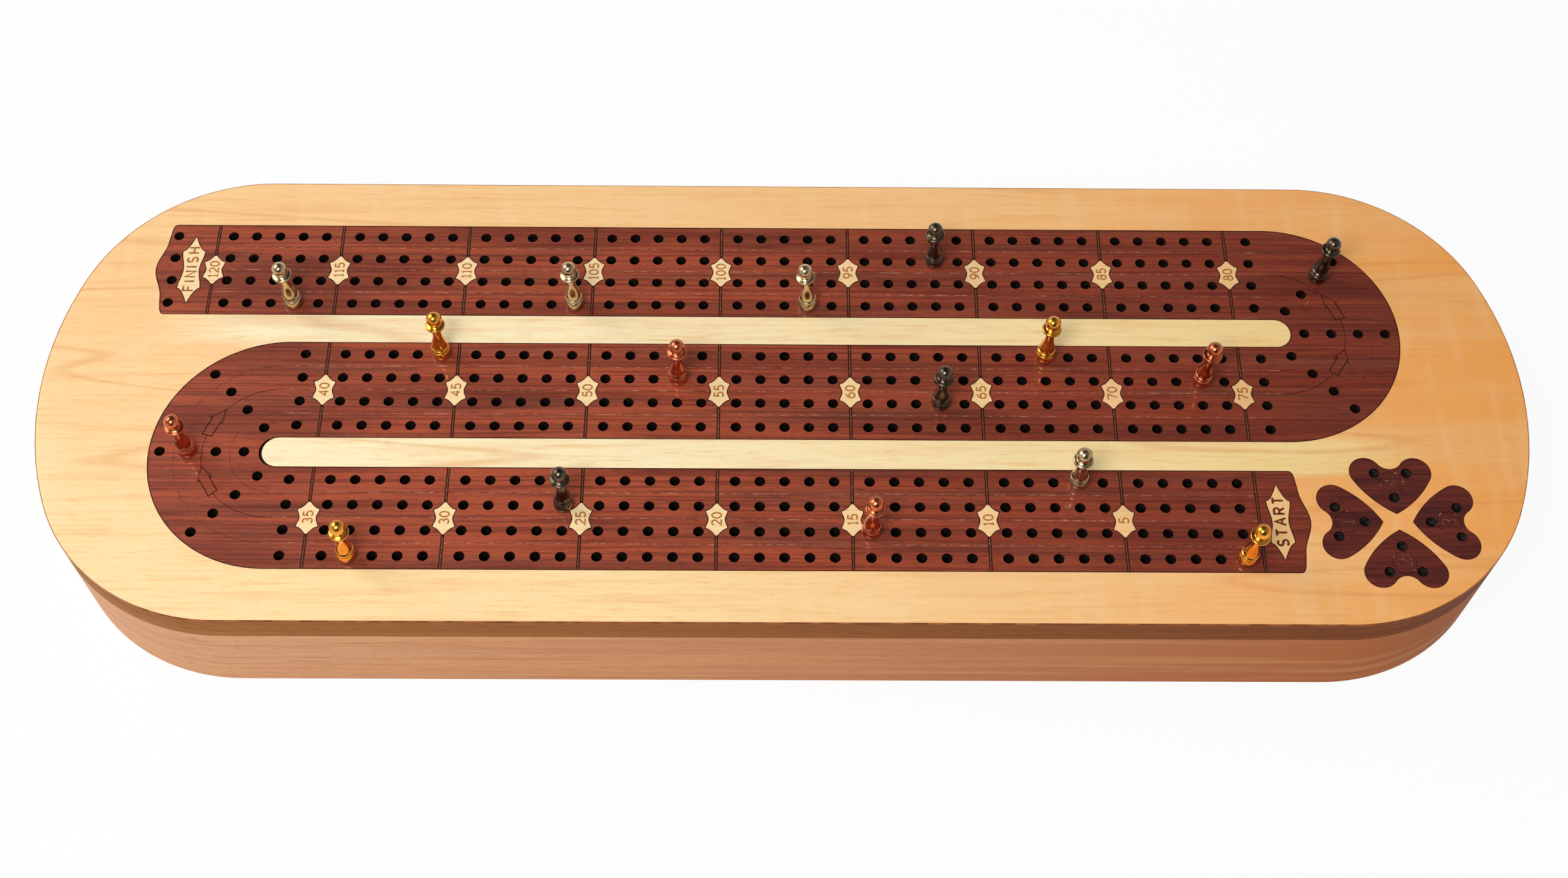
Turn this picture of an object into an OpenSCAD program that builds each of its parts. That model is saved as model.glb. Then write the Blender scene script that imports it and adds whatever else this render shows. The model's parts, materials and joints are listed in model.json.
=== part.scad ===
// Four-track cribbage board: an inlaid playing lid that swivels on a base routed with storage
// wells, and sixteen turned metal pegs standing in its holes.
// Origin: centre of the underside of the base. +X runs along the board towards the start of the
// track, +Y towards the finish row, +Z up. Millimetres.

/* [Track] */
// Groups of five holes along each straight run
groups_per_run = 7; // [4:1:8]
// Distance from one cross line to the next
group_pitch = 40; // [38:0.5:44]
// Distance between neighbouring holes of a group
hole_pitch = 7.36; // [6.6:0.02:7.6]
// Distance between neighbouring lanes
lane_pitch = 8.38; // [7:0.02:9]
// Distance between the centre lines of neighbouring runs
run_pitch = 43.74; // [42:0.02:52]
// Veneer left outside the centres of the outer lanes
track_margin = 4.2; // [3:0.1:5]
// Distance from the outer cross line of a run to the centre of its bend
bend_offset = 12.2; // [10:0.1:16]
// Distance by which the outline of the left bend is drawn in
left_bend_shift = 1; // [0:0.1:1.5]
// Distance from a cross line to the bend's first hole
bend_lead = 6.95; // [5:0.05:8]
// Turn from the bend's middle row to the inner hole of its slanted row
slant_start = 62.5; // [58:0.5:70]
// Direction in which the slanted row runs outwards
slant_angle = 47.5; // [40:0.5:55]
// Distance by which the last cross line stands nearer to its holes
last_line_shift = 0.7; // [0:0.1:1.2]
// Distance from the last cross line to the finish holes
finish_hole_gap = 12.7; // [12.2:0.1:14]
// Track left beyond the finish holes, at the corners
finish_corner_gap = 1.9; // [1.7:0.1:4]
// Track left beyond the start line, at the corners
start_corner_gap = 11.6; // [11:0.1:16]
// Rise of the bracket-shaped ends of the track
bracket_rise = 3.5; // [2:0.1:4.5]
// Rounding of the four corners at the ends of the track
bracket_corner = 1.3; // [0.6:0.1:2.5]
// Room left at the rounded end of the lower maple tongue, in the track's slot
tongue_gap = 0.8; // [0.2:0.1:1.5]

/* [Board outline] */
// Wood beyond the bends, at each end
end_margin = 35.2; // [33:0.1:60]
// Wood beyond the outer runs, along each side
side_margin = 16.55; // [12:0.05:30]
// Radius of the gently bulged ends
end_radius = 107.5; // [90:0.5:150]
// Radius of the rounded corners
corner_radius = 59; // [45:0.5:65]

/* [Layers] */
// Height of the base
base_height = 31.2; // [26:0.1:45]
// Running gap between the base and the lid
lid_gap = 0.3; // [0.2:0.05:0.6]
// Thickness of the lid's core
core_thickness = 9.7; // [9:0.1:14]
// Thickness of the veneers on the lid
veneer_thickness = 0.8; // [0.5:0.1:1.5]

/* [Peg holes] */
// Diameter of every peg hole
hole_diameter = 3.2; // [3:0.05:3.6]
// Depth of every peg hole below the playing surface
hole_depth = 8; // [7.6:0.1:8.6]

/* [Number shields] */
// Half of a shield's length, from its middle to a tip
shield_half_length = 5.9; // [4.5:0.1:6.5]
// Distance from a shield's middle to its shoulders
shield_shoulder = 3; // [2:0.1:3.4]
// Half of a shield's width at its shoulders
shield_half_width = 3.3; // [2.9:0.1:3.6]
// Half of a shield's width at its waist
shield_half_waist = 2.5; // [1.8:0.1:2.8]
// Distance by which shields and plaques sit nearer to the front than the middle of their run
shield_drop = 0.2; // [0:0.05:0.4]
// Half of the length of the start and finish plaques
plaque_half_length = 12.7; // [10:0.1:14]
// Distance from a plaque's middle to its shoulders
plaque_shoulder = 7; // [5:0.1:8.5]
// Half of a plaque's width at its shoulders
plaque_half_width = 3.6; // [2.8:0.1:3.7]
// Half of a plaque's width at its waist
plaque_half_waist = 2.5; // [1.8:0.1:2.7]
// Distance from the start line to the start plaque
start_plaque_gap = 6.2; // [5.8:0.1:7]
// Distance from the last cross line to the finish plaque
finish_plaque_gap = 7.1; // [6.9:0.1:7.3]

/* [Heart clover] */
// Width of a heart
heart_width = 24.4; // [22:0.1:25]
// Height of a heart, from its tip to the top of its lobes
heart_height = 18.7; // [18:0.1:20]
// Radius of a heart's lobes
heart_lobe = 4.8; // [4:0.1:5.4]
// Depth of the notch between the lobes
heart_notch = 3.8; // [2.6:0.1:4]
// Radius of a heart's flanks
heart_flank = 30; // [26:0.5:40]
// Distance from the start bracket's apex to the clover's centre
clover_gap = 25.9; // [25:0.1:30]
// Distance from the clover's centre to the tips of the hearts that point along the board
clover_tip_along = 4.5; // [3.8:0.1:6]
// Distance from the clover's centre to the tips of the hearts that point across the board
clover_tip_across = 2.7; // [2:0.1:4]
// Distance from a heart's tip to its single hole
heart_hole_near = 5.3; // [4.5:0.1:6.5]
// Distance from a heart's tip to its pair of holes
heart_hole_far = 13.6; // [12.8:0.1:14]
// Half of the distance between the pair of holes
heart_hole_half = 4.8; // [4.2:0.1:6]

/* [Pegs] */
// Diameter of a peg's ball head
head_diameter = 4.7; // [4:0.1:5.2]
// Height of the centre of the head above the playing surface
head_height = 18.5; // [18.4:0.1:24]
// Height of the middle of the collar above the playing surface
collar_height = 15.5; // [13:0.1:15.6]
// Diameter of the collar under the head
collar_diameter = 5.9; // [5:0.1:6.4]
// Diameter of the neck where it is thinnest
neck_diameter = 2.8; // [2.4:0.1:3.2]
// Diameter of the belly
belly_diameter = 4.8; // [4.4:0.1:5.2]
// Height of the belly's widest place above the playing surface
belly_height = 5.6; // [5.5:0.1:6.4]
// Diameter of the ring under the belly
ring_diameter = 5.5; // [5:0.1:5.8]
// Diameter of the rounded foot
foot_diameter = 5.9; // [5.2:0.1:6.4]
// Diameter of a peg's shank at the playing surface
shank_diameter = 2.9; // [2.6:0.05:2.95]
// Diameter of the shank's tip
tip_diameter = 1.9; // [1.6:0.05:2]
// Length of the shank below the playing surface
shank_length = 6.8; // [6:0.1:7]

/* [Storage wells] */
// Depth of the wells
well_depth = 24; // [18:0.5:24.5]
// Width of every well, across the board
well_width = 110; // [96:1:118]
// Length of each of the two card wells
card_well_length = 70; // [66:1:76]
// Length of the peg well
peg_well_length = 140; // [90:1:160]
// Wall left between two wells
well_wall = 12; // [8:0.5:14]
// Wood left between the pivot's bore and the first card well
pivot_wall = 18; // [12:0.5:20]
// Radius of the router bit that rounds the corners of the wells
well_corner = 6; // [4:0.5:10]

/* [Pivot] */
// Distance from the board's end to the pivot's axis
pivot_inset = 30; // [26:0.5:34]
// Diameter of the brass pivot pin
pin_diameter = 8; // [7:0.5:9]
// Radial running clearance of the pin in the base
pin_clearance = 0.05; // [0.03:0.01:0.1]
// Depth of the pin's seat in the lid's core
pin_seat = 7; // [5:0.5:7.5]
// Diameter of the thrust washer between base and lid
thrust_diameter = 20; // [16:0.5:24]
// Depth of the thrust washer's recess in the base
thrust_recess = 1; // [0.8:0.1:1.5]
// Height by which the thrust washer stands out of its recess
thrust_stand = 0.2; // [0.1:0.05:0.2]
// Diameter of the recess under the base for the keeper
keeper_recess_diameter = 19; // [18:0.5:22]
// Depth of that recess
keeper_recess_depth = 5.5; // [5.2:0.1:6]
// Diameter of the keeper washer under the pin
keeper_diameter = 16; // [13:0.5:17]
// Thickness of the keeper washer
keeper_thickness = 1.5; // [1.2:0.1:1.6]
// Gap between the keeper washer and the roof of its recess
keeper_play = 0.3; // [0.2:0.05:0.5]
// Diameter of the keeper screw's shank
screw_diameter = 4; // [3:0.5:4.5]
// Length of the keeper screw's shank inside the pin
screw_reach = 14; // [10:0.5:18]
// Diameter of the keeper screw's head
screw_head_diameter = 8; // [7:0.5:9]
// Height of the keeper screw's head
screw_head_height = 2.4; // [2:0.1:2.8]

/* [Magnets] */
// Diameter of the magnets that hold the lid closed
magnet_diameter = 8; // [6:0.5:10]
// Thickness of the magnets
magnet_thickness = 3; // [2:0.5:4]
// Distance from the board's end to the row of magnets
magnet_inset = 21; // [16:0.5:24]
// Half of the distance between the two magnets
magnet_half_spacing = 14; // [10:1:20]
// Distance by which a magnet's face is let in below the wood
magnet_let_in = 0.1; // [0:0.05:0.3]

/* [Hidden] */
$fn = 48;
// Degrees between two points of a drawn arc
arc_step = 3;
// Overlap that makes a cut run clean through a face
cut = 1;

lanes = 4;
holes_in_group = 5;
runs = 3;
half_lanes = (lanes - 1) / 2;
track_half = half_lanes * lane_pitch + track_margin;
last_line = groups_per_run / 2 * group_pitch;
bend_x = last_line + bend_offset;
bend_outer = run_pitch / 2 + track_half;
bend_inner = run_pitch / 2 - track_half;
lane_inner = run_pitch / 2 - half_lanes * lane_pitch;
half_length = bend_x + bend_outer + end_margin;
half_width = run_pitch + track_half + side_margin;
finish_line_x = -last_line - group_pitch + last_line_shift;
finish_holes_x = finish_line_x - finish_hole_gap;
finish_corner_x = finish_holes_x - finish_corner_gap;
start_corner_x = last_line + start_corner_gap;
start_apex_x = start_corner_x + bracket_rise;

lid_bottom = base_height + lid_gap;
core_top = lid_bottom + core_thickness;
play_top = core_top + veneer_thickness;
hole_radius = hole_diameter / 2;

clover_x = start_apex_x + clover_gap;
clover_y = -run_pitch;
pivot_x = pivot_inset - half_length;
pin_radius = pin_diameter / 2;
bore_radius = pin_radius + pin_clearance;
magnet_x = half_length - magnet_inset;
pin_bottom = keeper_recess_depth - keeper_play;
first_well_x = pivot_x + bore_radius + pivot_wall;
wells = [
    [first_well_x, card_well_length],
    [first_well_x + card_well_length + well_wall, card_well_length],
    [first_well_x + 2 * (card_well_length + well_wall), peg_well_length]];

// Where each peg stands: run, cross line to its left, lane and hole, counted from the front left,
// and its lean in whole degrees along and across the board. Two pegs stand in the bends.
silver_seats = [[2, -1, 0, 3, -3, 0], [2, 1, 0, 4, -2, 2], [2, 3, 0, 3, -4, 1], [0, 5, 3, 3, -2, -3]];
gold_seats = [[1, 0, 3, 4, 0, 3], [1, 5, 3, 2, 2, 2], [0, 0, 0, 1, 2, -1], [0, 6, 0, 4, 3, -1]];
copper_seats = [[1, 2, 2, 3, 1, 0], [1, 6, 2, 3, 3, 0], ["left", 2, 0, 0, 0, -2], [0, 4, 1, 0, 2, -1]];
black_seats = [[2, 4, 2, 3, -3, -2], ["right", 2, 1, 0, 3, 0], [1, 4, 1, 3, 0, -1], [0, 1, 2, 4, 1, 1]];
peg_sets = [["silver", "#C9C4BC", silver_seats], ["gold", "#D9A036", gold_seats],
    ["copper", "#B5603A", copper_seats], ["black", "#2B2A2C", black_seats]];
pegs_in_set = 4;

// Points of an arc about c, from angle a to angle b in degrees
function arc(c, r, a, b) =
    let (n = max(2, ceil(abs(b - a) / arc_step)))
    [for (i = [0:n]) c + r * [cos(a + (b - a) * i / n), sin(a + (b - a) * i / n)]];

function mirrored_x(points) = [for (i = [len(points) - 1:-1:0]) [-points[i][0], points[i][1]]];
function mirrored_y(points) = [for (i = [len(points) - 1:-1:0]) [points[i][0], -points[i][1]]];

function run_y(run) = (run - 1) * run_pitch;
function line_x(line) = line < 0 ? finish_line_x : line * group_pitch - last_line;
function lane_y(lane) = (lane - half_lanes) * lane_pitch;
function group_hole(run, line, lane, hole) = [
    (line + 0.5) * group_pitch - last_line + (hole - (holes_in_group - 1) / 2) * hole_pitch,
    run_y(run) + lane_y(lane)];

// Hole of a bend's slanted row in the lane that lies step lanes out from the inner one
function slanted(step) =
    let (start = lane_inner * [cos(slant_start), sin(slant_start)])
    let (way = [cos(slant_angle), sin(slant_angle)])
    let (along = start * way)
    let (reach = lane_inner + step * lane_pitch)
    start + (sqrt(along * along - lane_inner * lane_inner + reach * reach) - along) * way;

// Holes of a bend to the right of its centre, for one lane
function bend_holes(step) =
    let (reach = lane_inner + step * lane_pitch)
    [[bend_lead - bend_offset, -reach], [slanted(step)[0], -slanted(step)[1]], [reach, 0], slanted(step),
        [bend_lead - bend_offset, reach]];
function left_bend(step) = [for (h = bend_holes(step)) [-bend_x - h[0], h[1] - run_pitch / 2]];
function right_bend(step) = [for (h = bend_holes(step)) [bend_x + h[0], h[1] + run_pitch / 2]];

// Holes of a heart whose tip is at the origin and whose notch is up
heart_holes = [[0, heart_hole_near], [-heart_hole_half, heart_hole_far], [heart_hole_half, heart_hole_far]];
function turned(p, a) = [p[0] * cos(a) - p[1] * sin(a), p[0] * sin(a) + p[1] * cos(a)];
function clover_tip(i) = i % 2 == 0 ? clover_tip_along : clover_tip_across;
function clover_turn(i) = 90 * (i + 1);
function clover_place(p, i) = [clover_x, clover_y] + turned(p + [0, clover_tip(i)], clover_turn(i));

run_holes = [for (run = [0:runs - 1]) for (line = [(run == runs - 1 ? -1 : 0):groups_per_run - 1])
    for (lane = [0:lanes - 1]) for (hole = [0:holes_in_group - 1]) group_hole(run, line, lane, hole)];
bend_hole_list = [for (step = [0:lanes - 1]) for (h = concat(left_bend(step), right_bend(step))) h];
finish_holes = [for (lane = [0:lanes - 1]) [finish_holes_x, run_y(runs - 1) + lane_y(lane)]];
track_holes = concat(run_holes, bend_hole_list, finish_holes);
clover_holes = [for (i = [0:3]) for (h = heart_holes) clover_place(h, i)];

// Places of the number shields: every cross line of every run but the start line
shield_places = [for (run = [0:runs - 1])
    for (line = [(run == runs - 1 ? -1 : 0):(run == 0 ? groups_per_run - 1 : groups_per_run)])
    [line_x(line), run_y(run) - shield_drop]];
start_plaque_place = [last_line + start_plaque_gap, run_y(0) - shield_drop];
finish_plaque_place = [finish_line_x - finish_plaque_gap, run_y(runs - 1) - shield_drop];

// Outline of the board: straight sides, rounded corners and gently bulged ends
function board_points() =
    let (drop = half_width - corner_radius)
    let (corner_u = end_radius - sqrt(pow(end_radius - corner_radius, 2) - drop * drop))
    let (meet = atan2(drop, end_radius - corner_u))
    let (right_half = concat(
        arc([half_length - end_radius, 0], end_radius, 0, meet),
        arc([half_length - corner_u, drop], corner_radius, meet + arc_step / 2, 90)))
    let (upper = concat(right_half, mirrored_x(right_half)))
    let (lower = mirrored_y(upper))
    concat(upper, [for (i = [1:len(lower) - 2]) lower[i]]);

// Right-hand end of a run, from its lower to its upper corner: a bracket with an ogee at its middle.
// The ogee takes up this share of the end, and starts this far out from the corners.
bracket_shoulder = 0.64;
bracket_slope = 0.8;
corner_turn = 75;
function bracket_out(t) =
    abs(t) > bracket_shoulder ? bracket_slope * (1 - abs(t)) / (1 - bracket_shoulder)
    : bracket_slope + (bracket_rise - bracket_slope) * (1 + cos(180 * t / bracket_shoulder)) / 2;
function bracket_points() =
    let (c = bracket_corner)
    let (last = (track_half - c) / track_half)
    concat(arc([-c, c - track_half], c, -90, corner_turn - 90),
        [for (t = [-0.9:0.1:0.9]) if (abs(t) < last) [bracket_out(t), t * track_half]],
        arc([-c, track_half - c], c, 90 - corner_turn, 90));

function moved(points, x, y) = [for (p = points) p + [x, y]];

// Outline of the S-shaped track, anticlockwise from the start bracket. The slot round the lower
// tongue reaches slot_room further than the tongue.
function track_points(slot_room) = concat(
    moved(bracket_points(), start_corner_x, run_y(0)),
    arc([left_bend_shift - bend_x - slot_room, -run_pitch / 2], bend_inner, 270, 90),
    arc([bend_x, run_pitch / 2], bend_outer, -90, 90),
    moved([for (p = bracket_points()) -p], finish_corner_x, run_y(2)),
    arc([bend_x, run_pitch / 2], bend_inner, 90, -90),
    arc([left_bend_shift - bend_x, -run_pitch / 2], bend_outer, 90, 270));

// Quarter of a shield or plaque: a hollow curve from the tip to the shoulder, then a hollow side
shield_steps = 6;
function shield_quarter(length, shoulder, width, waist) = concat(
    [for (i = [0:shield_steps])
        let (t = i / shield_steps)
        [width * t, length - (length - shoulder) * sin(90 * t)]],
    [for (i = [1:shield_steps])
        let (t = i / shield_steps)
        [waist + (width - waist) * (1 + cos(180 * t)) / 2, shoulder * (1 - t)]]);
function shield_points(length, shoulder, width, waist) =
    let (quarter = shield_quarter(length, shoulder, width, waist))
    let (lower = mirrored_y(quarter))
    let (right = concat(quarter, [for (i = [1:len(lower) - 1]) lower[i]]))
    let (left = [for (i = [len(right) - 2:-1:1]) [-right[i][0], right[i][1]]])
    concat(right, left);
function number_shield_points() =
    shield_points(shield_half_length, shield_shoulder, shield_half_width, shield_half_waist);
function plaque_points() =
    shield_points(plaque_half_length, plaque_shoulder, plaque_half_width, plaque_half_waist);

// Outline of a heart with its tip at the origin: flank, lobe and half of the notch, then mirrored
function heart_points() =
    let (lobe = [heart_width / 2 - heart_lobe, heart_height - heart_lobe])
    let (far = norm(lobe))
    let (near = heart_flank - heart_lobe)
    let (bend = acos((heart_flank * heart_flank + far * far - near * near) / (2 * heart_flank * far)))
    let (flank = heart_flank * [cos(atan2(lobe[1], lobe[0]) + bend), sin(atan2(lobe[1], lobe[0]) + bend)])
    let (tip_turn = atan2(-flank[1], -flank[0]))
    let (meet = atan2(lobe[1] - flank[1], lobe[0] - flank[0]))
    let (floor_drop = heart_lobe - heart_notch)
    let (fillet = (lobe[0] * lobe[0] + floor_drop * floor_drop - heart_lobe * heart_lobe)
        / (2 * (heart_lobe - floor_drop)))
    let (notch = [0, heart_height - heart_notch + fillet])
    let (touch = atan2(notch[1] - lobe[1], notch[0] - lobe[0]))
    let (right = concat(
        arc(flank, heart_flank, tip_turn, meet),
        arc(lobe, heart_lobe, meet + arc_step, touch),
        [for (p = arc(notch, fillet, touch - 180, -90)) if (p[0] < lobe[0] - 0.01) p]))
    concat(right, [for (i = [len(right) - 2:-1:1]) [-right[i][0], right[i][1]]]);

// Parts of a peg's turned profile, from its shank's tip to the top of its head. A round is part of
// an ellipse that stands out by one size and is half as high as the other.
peg_chamfer = 0.3;
foot_gap = 0.25;
foot_round = [0.62, 1.7];
foot_steps = 8;
ring_height = 4.3;
ring_round = [0.35, 0.6];
flank_ease = 0.9;
neck_drop = 4.3;
collar_round = 0.45;
throat_share = 0.6;
round_steps = 5;
function turned_round(c, r, a, b, steps) =
    [for (i = [0:steps])
        let (turn = a + (b - a) * i / steps)
        c + [r[0] * cos(turn), r[1] * sin(turn)]];
function shank_profile() =
    let (tip = tip_diameter / 2)
    let (shank = shank_diameter / 2)
    [[0, -shank_length], [tip - peg_chamfer, -shank_length], [tip, peg_chamfer - shank_length],
        [shank, 0], [shank, foot_gap]];
function foot_profile(foot) =
    turned_round([foot - foot_round[0], foot_gap + foot_round[1]], foot_round, -90, 80, foot_steps);
function ring_profile(ring) =
    turned_round([ring - ring_round[0], ring_height], ring_round, -60, 75, round_steps);
function belly_profile(belly) =
    [[belly - 0.15, belly_height - 0.45], [belly - 0.04, belly_height - 0.25], [belly, belly_height]];
function flank_profile(belly, neck) =
    [for (t = [0.1:0.1:1])
        [neck + (belly - neck) * (1 + cos(180 * pow(t, flank_ease))) / 2,
            belly_height + t * (collar_height - neck_drop - belly_height)]];
function collar_profile(collar, neck) = concat(
    [[neck + 0.03, collar_height - 1.9], [neck + 0.2, collar_height - 1.2],
        [neck + 0.55, collar_height - 0.72]],
    turned_round([collar - collar_round, collar_height], [collar_round, collar_round], -80, 80,
        round_steps));
function head_profile(ball) =
    let (throat = throat_share * ball)
    concat(
        [[throat + 0.6, collar_height + 0.62], [throat + 0.2, collar_height + 0.78]],
        [for (a = [-acos(throat_share):10:80]) [ball * cos(a), head_height + ball * sin(a)]],
        [[0, head_height + ball]]);
function peg_profile() = concat(
    shank_profile(),
    foot_profile(foot_diameter / 2),
    ring_profile(ring_diameter / 2),
    belly_profile(belly_diameter / 2),
    flank_profile(belly_diameter / 2, neck_diameter / 2),
    collar_profile(collar_diameter / 2, neck_diameter / 2),
    head_profile(head_diameter / 2));

module veneer(points) {
    translate([0, 0, core_top]) linear_extrude(veneer_thickness) polygon(points);
}

module drilled(places, depth) {
    difference() {
        children();
        for (p = places)
            translate([p[0], p[1], play_top - depth]) cylinder(r=hole_radius, h=depth + cut);
    }
}

module rounded_well(length) {
    reach = length - 2 * well_corner;
    half = well_width / 2 - well_corner;
    for (x = [0, reach]) for (y = [-half, half])
        translate([well_corner + x, y, 0]) cylinder(r=well_corner, h=well_depth + cut);
    translate([well_corner, -well_width / 2, 0]) cube([reach, well_width, well_depth + cut]);
    translate([0, -half, 0]) cube([length, 2 * half, well_depth + cut]);
}

module magnet_seats(z, height) {
    for (y = [-magnet_half_spacing, magnet_half_spacing])
        translate([magnet_x, y, z]) cylinder(d=magnet_diameter, h=height);
}

// Solid wooden base with its wells, the pivot's bore and recesses, and seats for the magnets
module base() {
    magnet_floor = base_height - magnet_thickness - magnet_let_in;
    color("#C28B5E") difference() {
        linear_extrude(base_height) polygon(board_points());
        for (w = wells) translate([w[0], 0, base_height - well_depth]) rounded_well(w[1]);
        translate([pivot_x, 0, -cut]) cylinder(r=bore_radius, h=base_height + 2 * cut);
        translate([pivot_x, 0, base_height - thrust_recess])
            cylinder(d=thrust_diameter, h=thrust_recess + cut);
        translate([pivot_x, 0, -cut]) cylinder(d=keeper_recess_diameter, h=keeper_recess_depth + cut);
        magnet_seats(magnet_floor, magnet_thickness + magnet_let_in + cut);
    }
}

// Core of the lid, with the blind peg holes from above and the pin's and magnets' seats from below
module lid_core() {
    color("#9A6040") difference() {
        drilled(concat(track_holes, clover_holes), hole_depth)
            translate([0, 0, lid_bottom]) linear_extrude(core_thickness) polygon(board_points());
        translate([pivot_x, 0, lid_bottom - cut]) cylinder(r=pin_radius, h=pin_seat + cut);
        magnet_seats(lid_bottom - cut, magnet_thickness + magnet_let_in + cut);
    }
}

// Maple veneer round the track, with its two tongues, cut out for the hearts
module maple_field() {
    color("#F0CF98") translate([0, 0, core_top]) linear_extrude(veneer_thickness) difference() {
        polygon(board_points());
        polygon(track_points(0));
        for (i = [0:3]) polygon([for (p = heart_points()) clover_place(p, i)]);
    }
}

// Dark S-shaped track, drilled, and cut out for the shields and plaques
module track_inlay() {
    color("#6E3428") drilled(track_holes, veneer_thickness + cut)
        translate([0, 0, core_top]) linear_extrude(veneer_thickness) difference() {
            polygon(track_points(tongue_gap));
            for (p = shield_places) polygon(moved(number_shield_points(), p[0], p[1]));
            polygon(moved(plaque_points(), start_plaque_place[0], start_plaque_place[1]));
            polygon(moved(plaque_points(), finish_plaque_place[0], finish_plaque_place[1]));
        }
}

// Maple shields on the cross lines
module number_shields() {
    color("#F3D9A8") for (p = shield_places) veneer(moved(number_shield_points(), p[0], p[1]));
}

// Maple plaque at the start
module start_plaque() {
    color("#F3D9A8") veneer(moved(plaque_points(), start_plaque_place[0], start_plaque_place[1]));
}

// Maple plaque at the finish
module finish_plaque() {
    color("#F3D9A8") veneer(moved(plaque_points(), finish_plaque_place[0], finish_plaque_place[1]));
}

// One heart of the clover, with the three holes that count games
module heart(i) {
    color("#5A2620") drilled([for (h = heart_holes) clover_place(h, i)], veneer_thickness + cut)
        veneer([for (p = heart_points()) clover_place(p, i)]);
}

// Brass pin, pressed into the lid and running in the base, tapped for the keeper screw
module pivot_pin() {
    color("#C9A04A") difference() {
        translate([pivot_x, 0, pin_bottom]) cylinder(r=pin_radius, h=lid_bottom + pin_seat - pin_bottom);
        translate([pivot_x, 0, pin_bottom - cut]) cylinder(d=screw_diameter, h=screw_reach + cut);
    }
}

// Nylon washer that carries the lid round the pin
module thrust_washer() {
    color("#E8E4DA") translate([pivot_x, 0, base_height - thrust_recess]) difference() {
        cylinder(d=thrust_diameter - 2 * lid_gap, h=thrust_recess + thrust_stand);
        translate([0, 0, -cut]) cylinder(r=bore_radius, h=thrust_recess + thrust_stand + 2 * cut);
    }
}

// Steel washer that keeps the pin from lifting out of the base
module keeper_washer() {
    color("#B8BABC") translate([pivot_x, 0, pin_bottom - keeper_thickness]) difference() {
        cylinder(d=keeper_diameter, h=keeper_thickness);
        translate([0, 0, -cut]) cylinder(d=screw_diameter, h=keeper_thickness + 2 * cut);
    }
}

// Socket screw that clamps the keeper washer to the pin
module keeper_screw() {
    head_bottom = pin_bottom - keeper_thickness - screw_head_height;
    socket = screw_head_diameter / 2;
    color("#9A9C9F") translate([pivot_x, 0, head_bottom]) difference() {
        union() {
            cylinder(d=screw_head_diameter, h=screw_head_height);
            cylinder(d=screw_diameter, h=screw_head_height + keeper_thickness + screw_reach - cut);
        }
        translate([0, 0, -cut]) cylinder(d=socket, h=screw_head_height / 2 + cut, $fn=6);
    }
}

// Magnets in the underside of the lid
module lid_magnets() {
    color("#B9BDC2") magnet_seats(lid_bottom + magnet_let_in, magnet_thickness);
}

// Magnets in the top of the base
module base_magnets() {
    color("#B9BDC2") magnet_seats(base_height - magnet_let_in - magnet_thickness, magnet_thickness);
}

// Place of a peg's hole, from its seat
function seat_place(s) =
    s[0] == "left" ? left_bend(s[1])[2]
    : s[0] == "right" ? right_bend(s[1])[3]
    : group_hole(s[0], s[1], s[2], s[3]);

// Turned metal peg standing in its hole, with the slight lean of a loose fit
module peg(seat, tint) {
    place = seat_place(seat);
    color(tint) translate([place[0], place[1], play_top])
        rotate([-seat[5], seat[4], 0]) rotate_extrude() polygon(peg_profile());
}

base();
lid_core();
maple_field();
track_inlay();
number_shields();
start_plaque();
finish_plaque();
for (i = [0:3]) heart(i);
pivot_pin();
thrust_washer();
keeper_washer();
keeper_screw();
lid_magnets();
base_magnets();
for (s = peg_sets) for (i = [1:pegs_in_set])
    peg(s[2][i - 1], s[1]);
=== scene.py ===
"""Finishes and lights a four-track cribbage board.

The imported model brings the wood, the veneers, the lid's pivot and the pegs, in metres. This script
gives each its finish, burns the lines, arrows, numerals and words into the veneers, turns the pegs
to their polished shape, and sets up a plain studio with the camera of the photograph.
"""

import json
import logging
import math
from collections.abc import Callable, Sequence
from dataclasses import dataclass, field
from enum import Enum, IntEnum

import bpy
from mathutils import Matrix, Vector


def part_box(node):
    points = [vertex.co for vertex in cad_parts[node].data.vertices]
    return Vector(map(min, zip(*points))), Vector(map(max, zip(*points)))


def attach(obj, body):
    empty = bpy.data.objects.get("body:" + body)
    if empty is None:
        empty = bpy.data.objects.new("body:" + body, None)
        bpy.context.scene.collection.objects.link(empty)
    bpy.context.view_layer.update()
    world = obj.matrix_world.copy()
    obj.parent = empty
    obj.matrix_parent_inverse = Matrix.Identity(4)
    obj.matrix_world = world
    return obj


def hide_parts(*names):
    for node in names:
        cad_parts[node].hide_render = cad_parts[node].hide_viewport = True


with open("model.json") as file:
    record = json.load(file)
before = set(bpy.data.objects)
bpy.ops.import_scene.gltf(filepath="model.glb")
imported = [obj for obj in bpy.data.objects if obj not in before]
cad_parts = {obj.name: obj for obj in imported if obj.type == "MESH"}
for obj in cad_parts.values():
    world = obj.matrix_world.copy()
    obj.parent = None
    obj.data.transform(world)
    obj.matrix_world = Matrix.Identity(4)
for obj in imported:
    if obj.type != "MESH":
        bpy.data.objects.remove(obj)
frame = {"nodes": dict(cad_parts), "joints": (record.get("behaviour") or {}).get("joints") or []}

LOG = logging.getLogger("cribbage_board")
MM = 0.001
# Half the board's length; how far its own outline reaches at least, and a heart's at most, along
# the board. In millimetres
BOARD_HALF, BOARD_REACH, HEART_REACH = 226, 400, 30
# Least height of a level face's normal, and of an upper face's
LEVEL, UPWARD = 0.5, 0.9
# Two heights that differ by less millimetres than this are the same, and a place in millimetres is
# rounded to so many digits
SAME_HEIGHT, DIGITS = 0.01, 4
HEARTS = 4
WHITE = "#FFFFFF"

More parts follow.
